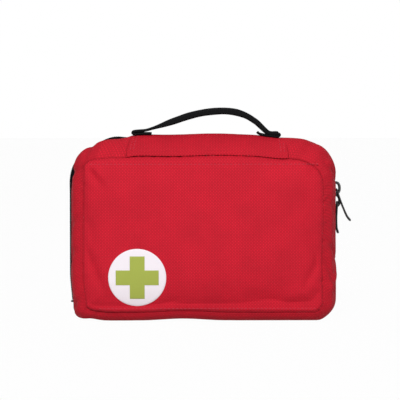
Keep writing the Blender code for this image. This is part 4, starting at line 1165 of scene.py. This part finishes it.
def webbing_strap():
    """A flattened oval carried along the route; its thickness follows the grip's fold."""
    line = spline([(x * MM, HANDLE_Y, SEAT + z * MM) for x, z in ROUTE], 420)
    fallen = slump(line[:, 0], line[:, 2])[1] - line[:, 2]
    line[:, 2] += (fallen - 0.3 * MM) * (1 - smooth_step(SEAT + 3 * MM, SEAT + 10 * MM, line[:, 2]))
    length = travelled(line)
    share = length / length[-1]
    x = line[:, 0]
    on_grip = (share > 0.13) & (share < 0.87)
    doubled = (3.5 * smooth_step(-45 * MM, -20 * MM, x) - 1.4 * smooth_step(24 * MM, 52 * MM, x)
               - 0.9 * smooth_step(50 * MM, 55 * MM, x))
    thick = 2.1 + on_grip * doubled
    thick = thick * MM * (1 + 0.02 * np.sin(length / (3.1 * MM)))
    lift = np.cross(unit(np.gradient(line, axis=0)), (0.0, 1.0, 0.0))
    round_y, round_z = squared_circle(full_turn(36), 0.28, 0.42)
    width = HALF_WEB - 0.2 * MM - 0.9 * MM * (on_grip & (np.abs(x - 6 * MM) < 40 * MM))
    width = np.convolve(np.pad(width, 12, mode="edge"), np.ones(25) / 25, mode="valid")
    points = (line[:, None] + np.array([0, 1.0, 0]) * (round_y[None] * width[:, None])[..., None]
              + lift[:, None] * (round_z[None] * thick[:, None] / 2)[..., None])
    across = round_y * HALF_WEB + round_z * 2 * MM
    uv = np.stack(np.broadcast_arrays(length[:, None], np.append(across, across[0])[None]), axis=-1)
    points = drawn_together(points, line[0], line[-1])
    return points, np.concatenate([uv[:1], uv, uv[-1:]]), line


strap_points, strap_uv, strap_line = webbing_strap()
strap = closed_piece("handle_webbing", strap_points.swapaxes(0, 1), (True, False), webbing,
                     strap_uv.swapaxes(0, 1))
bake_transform(strap)
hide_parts("handle_strap", "handle_end_left", "handle_end_right")
print("webbing is", round(travelled(strap_line)[-1] / MM), "mm long")


# %% [markdown]
# ## Lining, seam binding and hinge
# Inside, each half is lined with grey taffeta, a thin and slightly shiny plain weave. A
# black tape binds the raw seam, and a ribbon across the bottom carries the hinge.

# %% Taffeta linings
taffeta = woven("taffeta_lining_grey", "54565A", "66686C", 0.8 * MM, 0.03 * MM, sheen=0.1, rough=0.5)
binding_cloth = woven("grosgrain_binding_black", "0A0A0C", "1D1D20", 1.0 * MM, 0.1 * MM,
                      rough=0.7, turn=math.pi / 4)


def lining(half, face_y, thickness, direction):
    """A sheet of rings to a centre, with the slack waves of cloth held only at its rim."""
    rim = inside_wall(wall if half == "front" else back_wall_points, face_y, FABRIC + 2.0 * MM)
    flat = rings_to_centre(rim, (0.0, PANEL_Z), 1 - np.linspace(0, 1, 44) ** 1.3)
    x, z = flat[..., 0], flat[..., 1]
    inside = np.maximum(from_rim(x, z, SEAM_RADII), 0)
    slack = np.sin(x / (11 * MM) + 1.4 * np.sin(z / (19 * MM))) + np.sin(z / (15 * MM) + x / (37 * MM))
    slack = 0.22 * MM * slack * smooth_step(2 * MM, 16 * MM, inside)
    beside_seam = 0.7 * MM * (1 - smooth_step(4 * MM, 15 * MM, inside))
    y = face_y + direction * (0.25 * MM + np.minimum(slack, 0.2 * MM) + beside_seam)
    points = np.stack([x, y, z], axis=-1)
    piece = grid_mesh("lining_" + half, points, np.concatenate([flat, flat[:1]]), (True, False),
                      away_from=(0, face_y - direction * 0.1, 0.07))
    piece = finish_piece("lining_" + half, piece, [taffeta])
    thicken(piece, thickness)
    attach(piece, half + "_half")
    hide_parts(half + "_lining")


_, front_lining_high = span("front_lining")
back_lining_low, _ = span("back_lining")
lining("front", front_lining_high[1] - 0.3 * MM, 0.5 * MM, 1)
lining("back", back_lining_low[1] - 0.1 * MM, 0.5 * MM, -1)

# %% Seam binding
for half, direction in (("front", 1), ("back", -1)):
    low, high = span(half + "_seam_tape")
    around = np.linspace(0, 1, 11)
    beside_lining, beside_wall = (low[1], high[1]) if half == "front" else (high[1], low[1])
    beside_lining = beside_lining - direction * 0.6 * MM
    beside_wall = beside_wall + direction * 1.2 * MM
    depth = beside_lining + (beside_wall - beside_lining) * (0.5 + 0.5 * np.sin(np.pi * (around - 0.5)))
    raised = FABRIC + (2.6 + 0.7 * np.sin(np.pi * around)) * MM
    shell = wall if half == "front" else back_wall_points
    order = np.argsort(depth)
    depth = depth[order]
    points = np.stack([inside_wall(shell, d, r) for d, r in zip(depth, raised)], axis=1)
    points = points + (puckers(AROUND[:-1], 61) * 0.12 * MM)[:, None, None] * OUTWARD[:, None]
    uv = np.stack(np.broadcast_arrays(AROUND[:, None], depth[None]), axis=-1)
    tape = grid_mesh("seam_binding_" + half, points, uv, (True, False))
    tape.flip_normals()
    tape = finish_piece("seam_binding_" + half, tape, [binding_cloth])
    thicken(tape, 0.6 * MM)
    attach(tape, half + "_half")
    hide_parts(half + "_seam_tape")

# %% Hinge ribbon inside and spine cloth outside
hinge_low, hinge_high = span("hinge_tape")


def across_hinge(name, half_width, y_front, y_back, height, material, thickness):
    """A ribbon over the hinge line, reaching from one half to the other."""
    x = np.linspace(-half_width, half_width, 120)
    y = np.linspace(y_front, y_back, 40)
    risen = slump(x, np.zeros_like(x))[1]
    points = np.stack(np.broadcast_arrays(x[:, None], y[None], (height + risen)[:, None]), axis=-1)
    uv = np.stack(np.broadcast_arrays(x[:, None], y[None]), axis=-1)
    piece = finish_piece(name, grid_mesh(name, points, uv, away_from=(0, 0, -0.2)), [material])
    thicken(piece, thickness)
    apply_modifiers(piece)
    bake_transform(piece)
    return piece


ribbon = across_hinge("hinge_ribbon", hinge_high[0], hinge_low[1], hinge_high[1],
                      hinge_high[2] + 0.3 * MM, binding_cloth, 0.5 * MM)
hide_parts("hinge_tape")
across_hinge("spine_cloth", hinge_high[0] - 2 * MM, HINGE_Y - 6 * MM, HINGE_Y + 6 * MM,
             0.3 * MM, oxford_red, 0.4 * MM)
print("lining, binding and hinge made")


# %% [markdown]
# ## Pockets and elastic
# Each half has an open-topped pocket of knitted net. The net is made as real strands: a
# lattice of diamonds whose edges become round threads, so that what it holds shows through.
# A folded band binds its top, and a ribbed elastic on the front lining holds the tools.

# %% Net
net_yarn = woven("knitted_net_black", "0E0E10", "222226", 0.5 * MM, 0.03 * MM, rough=0.7)
ribbed, tree, shader = new_material("ribbed_elastic_black", roughness=0.7, sheen_weight=0.1)
place = surface_place(tree, 1.6 * MM)
wave = maths(tree, "SINE", maths(tree, "MULTIPLY", place.outputs[1], 2 * math.pi))
ribs = add(tree, "MapRange", {}, {0: wave, 1: -1.0, 2: 1.0})
# painted shade in the troughs between the ribs, painted light on their crests
tree.links.new(blend_colours(tree, ribs, "0A0A0C", "202024"), shader.inputs["Base Color"])
roughen(tree, shader, ribs, 0.25 * MM)


def net(half, cell, thread):
    """A lattice: points where i + j is even, diamonds between them, inside the outline."""
    low, high = span(half + "_pocket_mesh")
    middle = (low[1] + high[1]) / 2
    rim = loop(middle, FABRIC + 1.4 * MM)
    reach = rim[:, 0].max()
    top = high[2] + 1.5 * MM
    columns, rows = int(2 * reach / cell) + 2, int(top / cell) + 2
    i, j = np.meshgrid(np.arange(columns + 1), np.arange(rows + 1), indexing="ij")
    x, z = -reach + i * cell, j * cell
    odd = (i + j) % 2 == 1
    held = odd & (i > 0) & (i < columns) & (j > 0) & (j < rows) & (z < top - cell / 2)
    wall_x = np.interp(z, *side_of(rim))
    held &= (np.abs(x) < wall_x - cell * 0.4) & (z > rim[:, 2].min() + cell * 0.9)
    a, b = i[held], j[held]
    here, next_column = a * (rows + 1) + b, rows + 1
    faces = np.stack([here - next_column, here - 1, here + next_column, here + 1], axis=1)
    bow = 0.9 * MM * np.sin(np.pi * np.clip(z / top, 0, 1)) * np.cos(np.pi * x / reach / 2)
    way = 1 if half == "front" else -1
    y = middle + way * bow + 0.15 * MM * np.sin(x / (7 * MM)) * np.sin(z / (9 * MM))
    used, flat = np.unique(faces, return_inverse=True)
    points = np.stack([x.ravel(), y.ravel(), z.ravel()], axis=1)[used]
    mesh = bpy.data.meshes.new("pocket_net_" + half)
    mesh.from_pydata(points.tolist(), [], flat.reshape(faces.shape).tolist())
    uv_layer = mesh.uv_layers.new(name="Cloth")
    uv_layer.uv.foreach_set("vector", points[flat.ravel()][:, [0, 2]].astype(np.float32).ravel())
    piece = finish_piece("pocket_net_" + half, mesh, [net_yarn])
    strands = piece.modifiers.new("strands", "WIREFRAME")
    strands.thickness = thread
    strands.use_even_offset = False
    strands.use_boundary = True
    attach(piece, half + "_half")
    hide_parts(half + "_pocket_mesh")
    return middle


def side_of(rim):
    """Heights and half widths of the right side of an outline, for reading it by height."""
    right = rim[rim[:, 0] > 0]
    order = np.argsort(right[:, 2])
    return right[order, 2], right[order, 0]


def band(name, line, low, high, thick, body, material, node):
    """A flat band between two heights along a line, its edges rounded: an oval section."""
    oval_y, oval_z = squared_circle(full_turn(16), 0.6, 0.35)
    z = (low + high) / 2 + oval_z * (high - low) / 2
    direction = unit(np.gradient(line, axis=0))
    side = np.stack([-direction[:, 1], direction[:, 0]], axis=1)
    flat = line[:, None] + side[:, None] * (oval_y * thick / 2)[None, :, None]
    points = np.concatenate([flat, np.broadcast_to(z[None, :, None], flat.shape[:2] + (1,))], axis=-1)
    points = drawn_together(points, points[0].mean(axis=0), points[-1].mean(axis=0))
    length = travelled(line)
    length = np.concatenate([length[:1], length, length[-1:]])
    uv = np.stack(np.broadcast_arrays(length[None], np.append(z, z[0])[:, None]), axis=-1)
    piece = closed_piece(name, points.swapaxes(0, 1), (True, False), material, uv)
    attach(piece, body)
    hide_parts(node)


for half in ("front", "back"):
    middle = net(half, 2.1 * MM, 0.42 * MM)
    low, high = span(half + "_pocket_binding")
    x = np.linspace(low[0], high[0], 160)
    line = np.stack([x, middle + 0.12 * MM * np.sin(x / (8 * MM))], axis=1)
    band("pocket_binding_" + half, line, low[2] - 0.4 * MM, high[2], 1.3 * MM, half + "_half",
         binding_cloth, half + "_pocket_binding")

# %% Elastic for the tools
band_low, band_high = span("elastic_band")
x = np.linspace(band_low[0], band_high[0], 220)
foot = 1 - smooth_step(band_high[0] - 9 * MM, band_high[0] - 2 * MM, np.abs(x))
depth = band_low[1] + 0.5 * MM + (band_high[1] - band_low[1] - 1.0 * MM) * foot
band("tool_elastic", np.stack([x, depth], axis=1), band_low[2], band_high[2], 0.9 * MM,
     "front_half", ribbed, "elastic_band")
print("pockets and elastic made")


# %% [markdown]
# ## Packets
# Dressings come in flat packets: two sheets sealed together round their edges, with the
# contents as a soft pillow between. A packet is two grids over its width and height. Its
# thickness is a flattened dome, (1 - |s|^4)(1 - |t|^4), that dies out at the seals, and
# each seal has the fine ribs of the crimping jaws.

# %% Paper, foil, film, cotton and card
paper = patchy("sterile_wrapping_paper", (900, 6, (1, 1, 0.4)), "DDDCD4", "F2F1EC", 0.05 * MM,
               roughness=0.75)
foil = patchy("aluminised_film", (160, 8), "B4B6BA", "D8DADC", 0.5 * MM, metallic=1.0, roughness=0.28)
gold_foil = patchy("gold_coated_film", (190, 8), "B08E3E", "DCC077", 0.5 * MM, metallic=1.0,
                   roughness=0.3)
cotton = woven("cotton_gauze", "D9D5C8", "F4F1E8", 1.3 * MM, 0.15 * MM, sheen=0.2, rough=0.9)
clear_film = patchy("polythene_bag_white", (120, 4), "C9D4DC", "E9EEF1", 0.4 * MM, roughness=0.25,
                    coat_weight=0.3)
card = patchy("folding_box_board", (700, 5), "CFC8B6", "E0DACA", 0.03 * MM, roughness=0.6)
print("wrapping materials ready")

# %% Packet shape
def packet(name, node, body, material, seal, crumple, seed):
    """A sealed packet in its CAD node's box."""
    low, high = span(node)
    chance = np.random.default_rng(seed)
    s, t = np.meshgrid(np.linspace(-1, 1, 61), np.linspace(-1, 1, 81), indexing="ij")
    size = high - low
    edge_s = 1 - seal * MM * 0.35 / (size[0] / 2)
    edge_t = 1 - seal * MM / (size[2] / 2)
    inner_s, inner_t = np.clip(np.abs(s) / edge_s, 0, 1), np.clip(np.abs(t) / edge_t, 0, 1)
    dome = ((1 - inner_s ** 5) * (1 - inner_t ** 5)) ** 0.55
    phase = chance.uniform(0, 6.28, 4)
    waves = (np.sin(7 * s + 3 * t + phase[0]) + np.sin(5 * t - 6 * s + phase[1])
             + np.sin(13 * t + 4 * s + phase[2]) * 0.6) / 3
    half_thick = size[1] / 2
    puff = dome * (half_thick * 0.9 + crumple * MM * (waves - 0.6)) * (1 - 0.12 * dome * np.abs(waves))
    crimp = 0.09 * MM * np.sin(t * size[2] / (0.9 * MM)) * (inner_t >= 1)
    film = 0.22 * MM
    sides = []
    x = (low[0] + high[0]) / 2 + s * size[0] / 2 * (1 - 0.012 * (1 - t ** 2))
    z = (low[2] + high[2]) / 2 + t * size[2] / 2 * (1 - 0.008 * (1 - s ** 2))
    middle = (low[1] + high[1]) / 2 + 0.12 * half_thick * np.sin(3 * t + phase[3]) * (inner_t >= 1)
    for way in (-1, 1):
        y = middle + way * np.maximum(puff, film) * (np.abs(s) < 1) * (np.abs(t) < 1) + crimp
        sides.append(np.stack([x, y, z], axis=-1))
    uv = np.stack([x, z], axis=-1)
    points = np.concatenate([sides[0], sides[1][::-1][1:]])
    uv = np.concatenate([uv, uv[::-1][1:]])
    piece = closed_piece(name, points, (False, False), material, uv)
    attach(piece, body)
    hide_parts(node)


for number, (name, node, half, material, slot, seal, crumple) in enumerate((
        ("gauze_packet", "gauze_pack", "back", paper, "wrap_paper", 6, 0.3),
        ("burn_packet", "burn_dressing", "back", foil, "foil_film", 6, 0.3),
        ("wound_packet", "wound_dressing", "back", paper, "wrap_paper", 7, 0.7),
        ("blanket_packet", "foil_blanket", "back", gold_foil, "foil_film", 3, 0.9),
        ("triangle_packet", "triangular_bandage", "back", cotton, "white_cotton", 4, 0.7),
        ("plaster_packet", "plaster_pack", "front", card, "card", 2, 0.1),
        ("gloves_packet", "gloves_pack", "front", clear_film, "white_cotton", 7, 0.8),
        ("wipe_packet_1", "wipe_sachet_1", "front", foil, "foil_film", 5, 0.15),
        ("wipe_packet_2", "wipe_sachet_2", "front", foil, "foil_film", 5, 0.15),
        ("wipe_packet_3", "wipe_sachet_3", "front", foil, "foil_film", 5, 0.15))):
    packet(name, node, half + "_half", material, seal, crumple, seed=number)
print("packets made")


# %% [markdown]
# ## Rolls
# A bandage is one long strip wound on itself, so its ends show a spiral and its side shows
# the last turn's edge. The shape is a profile turned about an axis; the spiral is a ripple
# of the end face, a sine of the radius minus the share of a turn.

# %% Wound rolls
DEEP, UP = 1, 2               # the axis of a roll: y, front to back, or z
ROUNDED = 0.7 * MM            # radius of the edge between a roll's end and its side


def wound_roll(name, node, body, material, axis, hole, layer, ripple):
    """A roll in its node's box: its profile goes out over one end, along the side and back."""
    low, high = span(node)
    middle, half = (low + high) / 2, (high - low) / 2
    radius, length = half[(axis + 1) % 3], half[axis]
    turns = full_turn(96)
    end_r = np.linspace(hole, radius - ROUNDED, 40)
    corner = np.linspace(0, np.pi / 2, 6)[1:]
    profile_r = np.concatenate([end_r, radius - ROUNDED * (1 - np.sin(corner))])
    profile_h = np.concatenate([0 * end_r + length, length - ROUNDED * (1 - np.cos(corner))])
    side = np.linspace(length - ROUNDED, ROUNDED - length, 20)[1:-1]
    r = np.concatenate([profile_r, radius + 0 * side, profile_r[::-1]])
    h = np.concatenate([profile_h, side, -profile_h[::-1]])
    on_end = np.concatenate([0 * end_r + 1, 0 * corner, 0 * side, 0 * corner, 0 * end_r + 1])
    groove = ripple * (0.5 + 0.5 * np.sin(2 * np.pi * r / layer - turns[:, None])) * on_end
    h = h - np.sign(h) * groove
    last_turn = smooth_step(0.5 * np.pi, 0.0, turns)[:, None]
    r = r - (1 - on_end) * 0.28 * MM * last_turn
    a, b = (axis + 1) % 3, (axis + 2) % 3
    points = np.empty(r.shape + (3,))
    points[..., axis] = middle[axis] + h
    points[..., a] = middle[a] + r * np.cos(turns)[:, None]
    points[..., b] = middle[b] + r * np.sin(turns)[:, None]
    around = np.append(turns, 2 * np.pi) * radius
    along = travelled(np.concatenate([points[0], points[0, :1]]))
    uv = np.stack(np.broadcast_arrays(around[:, None], along[None]), axis=-1)
    piece = closed_piece(name, points, (True, hole > 0), material, uv)
    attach(piece, body)
    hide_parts(node)


for width in ("wide", "narrow"):
    wound_roll("bandage_" + width, "bandage_roll_" + width, "back_half", cotton,
               UP, 0.0, 1.4 * MM, 0.5 * MM)

# %% Sticking plaster on its card core
plaster = woven("zinc_oxide_plaster_cloth", "D8CFC0", "EFE7DA", 0.9 * MM, 0.06 * MM, rough=0.8)
core_low, core_high = span("tape_core")
HALF_CARD = 0.7 * MM          # half the thickness of the card core's wall
wound_roll("plaster_roll", "tape_roll", "back_half", plaster, DEEP,
           (core_high[0] - core_low[0]) / 2 + 0.2 * MM, 0.9 * MM, 0.18 * MM)


def core_ring():
    """The card tube inside the plaster: a closed section turned about the roll's axis."""
    middle, half = (core_low + core_high) / 2, (core_high - core_low) / 2
    turns = full_turn(72)[:, None]
    across, along = squared_circle(full_turn(24), 0.4, 0.3)
    r = half[0] + HALF_CARD * (across - 1)
    points = np.stack([middle[0] + r * np.cos(turns), middle[1] + half[1] * along + 0 * turns,
                       middle[2] + r * np.sin(turns)], axis=-1)
    piece = closed_piece("plaster_core", points, (True, True), card)
    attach(piece, "back_half")
    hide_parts("tape_core")


core_ring()
print("rolls made")


# %% [markdown]
# ## Scissors and tweezers
# Both are satin stainless steel. A scissor half is a flat blade with a hollow-ground edge
# and a round finger loop; its outline is a curve through listed points, given thickness
# and a bevel. Fine lines run along the blades from the grinding belt.

# %% Steel
steel, tree, shader = new_material("satin_stainless_steel", metallic=1.0, roughness=0.3)
lines = cloudiness(tree, 260, 4, (0.12, 1, 6))
tree.links.new(blend_colours(tree, lines, "A9ACB0", "CDD0D3"), shader.inputs["Base Color"])
rough = add(tree, "MapRange", {}, {0: lines, 3: 0.24, 4: 0.42})
tree.links.new(rough.outputs[0], shader.inputs["Roughness"])
roughen(tree, shader, lines, 0.03 * MM)

screw_low, screw_high = span("scissor_screw")
PIVOT = ((screw_low + screw_high) / 2)[[0, 2]]
BLADE = ((-46, -0.4), (-38, 1.3), (-24, 2.4), (-10, 3.1), (0, 4.0), (8, 4.6), (20, 8.0), (32, 12.6),
         (37, 13.6), (37, 9.4), (33, 7.0), (22, 3.2), (12, -0.8), (4, -3.4), (-4, -4.4), (-12, -4.0),
         (-26, -2.6), (-40, -1.2))               # mm from the screw, the loop side up


def scissor_half(name, node, body, way):
    """The blade's outline as two faces and an edge with a bevel, with its loop."""
    low, high = span(node)
    outline_points = spline(np.array(BLADE + BLADE[:1], float), 150)[:-1] * MM
    x, z = PIVOT[0] + outline_points[:, 0], PIVOT[1] + way * outline_points[:, 1]
    count = len(x)
    sides = [np.stack([x, np.full(count, y), z], axis=1) for y in (low[1], high[1])]
    faces = [tuple(range(count)), tuple(range(2 * count - 1, count - 1, -1))]
    faces += [(k, k + count, (k + 1) % count + count, (k + 1) % count) for k in range(count)]
    mesh = bpy.data.meshes.new(name)
    mesh.from_pydata(np.concatenate(sides).tolist(), [], faces)
    blade = finish_piece(name + "_plate", mesh, [steel], smooth=False)
    fix_normals(blade)
    edge = blade.modifiers.new("edge", "BEVEL")
    edge.width, edge.segments = 0.45 * MM, 2
    apply_modifiers(blade)
    turns, tube = full_turn(56)[:, None], full_turn(14)
    centre = (high[0] - 10.5 * MM, (low[1] + high[1]) / 2, PIVOT[1] + way * 11.8 * MM)
    r = 9.1 * MM + 1.4 * MM * np.cos(tube)
    loop_points = np.stack([centre[0] + r * np.cos(turns), centre[1] + 1.05 * MM * np.sin(tube) + 0 * turns,
                            centre[2] + r * np.sin(turns)], axis=-1)
    half = join(name, [blade, closed_piece(name + "_ring", loop_points, (True, True), steel)])
    half.data.set_sharp_from_angle(angle=math.radians(35))
    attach(half, body)
    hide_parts(node)


scissor_half("scissors_fixed_half", "scissor_blade_fixed", "front_half", -1)
scissor_half("scissors_moving_half", "scissor_blade_moving", "scissor_moving", 1)


def turned(name, centre, profile, material):
    """A profile of (radius, y) turned about the screw's axis, which runs along y."""
    r, y = np.array(profile).T * MM
    turns = full_turn(40)[:, None]
    points = np.stack([centre[0] + r * np.cos(turns), y + 0 * turns, centre[1] + r * np.sin(turns)],
                      axis=-1)
    return closed_piece(name, points, (True, False), material)


y0, y1 = screw_low[1] / MM, screw_high[1] / MM
SCREW = ((0, y0), (1.9, y0), (1.9, y1 - 1.2), (3.5, y1 - 1.1), (3.6, y1 - 0.7), (3.3, y1 - 0.25),
         (2.4, y1), (1.2, y1 - 0.1), (0, y1 - 0.15))
screw = turned("scissors_screw", PIVOT, SCREW, steel)
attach(screw, "front_half")
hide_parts("scissor_screw")

# %% Tweezers
tweezer_low, tweezer_high = span("tweezers")


def tweezers():
    """Two sprung strips from one bend: a flat oval carried along a line that goes out to one
    tip and back from the other, narrower towards the tips."""
    length = tweezer_high[0] - tweezer_low[0]
    middle = (tweezer_low + tweezer_high) / 2
    half_open = (tweezer_high[1] - tweezer_low[1]) / 2 - 0.42 * MM
    t = np.linspace(-1, 1, 161)
    out = np.abs(t)
    x = tweezer_low[0] + 0.5 * MM + (length - 0.6 * MM) * out
    bow = smooth_step(0, 0.08, out) * (0.75 + 0.25 * np.sin(np.pi * out)) - 0.5 * smooth_step(0.75, 1, out)
    y = middle[1] + np.sign(t) * half_open * bow
    width = (tweezer_high[2] - tweezer_low[2]) / 2 * (1 - 0.62 * smooth_step(0.35, 1.0, out))
    line = np.stack([x, y, np.full(161, middle[2])], axis=1)
    lift = np.cross(unit(np.gradient(line, axis=0)), (0, 0, 1.0))
    oval_z, oval_y = squared_circle(full_turn(12), 0.35, 0.6)
    points = (line[:, None] + np.array([0, 0, 1.0]) * (oval_z[None] * width[:, None])[..., None]
              + lift[:, None] * (oval_y * 0.4 * MM)[None, :, None])
    points = drawn_together(points, line[0], line[-1])
    piece = closed_piece("splinter_tweezers", points, (False, True), steel)
    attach(piece, "front_half")
    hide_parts("tweezers")


tweezers()
shown = [name for name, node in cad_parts.items() if not node.hide_render]
print("tools made; CAD nodes still shown:", shown)


# %% [markdown]
# ## Floor, light and camera
# A pale floor and a white surround, as in a studio. The camera, glossy and clear surfaces
# see the surround at full white, while the object is lit by a weaker, even light from it and
# by three large soft lamps. The floor keeps a trace of the shadow; the rest of it is clear, so
# that the front half can be seen when the standing kit is opened right down.

# %% The floor
CLEARNESS = 0.975   # share of the floor that the camera looks through
plain_white, tree, shader = new_material("studio_floor_paint", roughness=0.9)
shader.inputs["Base Color"].default_value = linear("C8C8C8")
clear = add(tree, "BsdfTransparent")
seen = add(tree, "LightPath")
direct = maths(tree, "MAXIMUM", seen.outputs["Is Camera Ray"], seen.outputs["Is Glossy Ray"])
share = maths(tree, "MULTIPLY", direct, CLEARNESS)
share = maths(tree, "MAXIMUM", share, seen.outputs["Is Shadow Ray"])
mixed = add(tree, "MixShader", {}, {0: share, 1: shader, 2: clear})
tree.links.new(mixed.outputs[0], tree.nodes["Material Output"].inputs["Surface"])
REACH = 6.0         # metres from the middle of the floor to its edges
floor_points = np.array([[[x, y, 0] for x in (-REACH, REACH)] for y in (-REACH, REACH)])
floor = finish_piece("studio_floor", grid_mesh("studio_floor", floor_points, away_from=(0, 0, -1)),
                     [plain_white], smooth=False)

# %% The surround
world = bpy.data.worlds.new("studio")
bpy.context.scene.world = world
world.use_nodes = True
tree = world.node_tree
background = tree.nodes["Background"]
seen = add(tree, "LightPath")
direct = maths(tree, "MAXIMUM", seen.outputs["Is Camera Ray"], seen.outputs["Is Glossy Ray"])
direct = maths(tree, "MAXIMUM", direct, seen.outputs["Is Transmission Ray"])
strength = add(tree, "MapRange", {}, {0: direct, 3: 0.2, 4: 1.0})
background.inputs["Color"].default_value = (1, 1, 1, 1)
tree.links.new(strength.outputs[0], background.inputs["Strength"])

# %% Lamps and camera
KIT_MIDDLE = np.array([-2.2, -25.0, 97.4]) * MM


def aim(thing, place, target):
    """Puts a lamp or camera at a place and points it at a target."""
    way = np.array(target) - np.array(place)
    thing.location = place
    thing.rotation_euler = (math.acos(-way[2] / np.linalg.norm(way)), 0,
                            math.atan2(-way[0], way[1]))


for title, place, size, watts in (("key", (-0.25, -1.45, 0.9), 0.4, 21.0),
                                  ("fill", (1.0, -1.2, 0.6), 0.8, 4.5),
                                  ("top", (0.1, 0.4, 1.3), 0.8, 0.8)):
    lamp = bpy.data.lights.new(title + "_lamp", "AREA")
    lamp.size, lamp.energy = size, watts
    lamp_object = bpy.data.objects.new(title + "_lamp", lamp)
    bpy.context.scene.collection.objects.link(lamp_object)
    aim(lamp_object, place, KIT_MIDDLE)

camera_data = bpy.data.cameras.new("camera")
camera = bpy.data.objects.new("camera", camera_data)
bpy.context.scene.collection.objects.link(camera)
camera_data.lens, camera_data.sensor_width = 200, 36
VIEW_WIDTH, AZIMUTH, ELEVATION = 323.5 * MM, math.radians(-1), math.radians(3)
distance = VIEW_WIDTH * camera_data.lens / camera_data.sensor_width
back_way = np.array([math.sin(AZIMUTH) * math.cos(ELEVATION),
                     -math.cos(AZIMUTH) * math.cos(ELEVATION), math.sin(ELEVATION)])
aim(camera, KIT_MIDDLE + back_way * distance, KIT_MIDDLE)
camera_data.clip_start, camera_data.clip_end = 0.05, 30
bpy.context.scene.camera = camera
bpy.context.scene.view_settings.view_transform = "Standard"
print("camera stands", round(distance, 2), "m away")
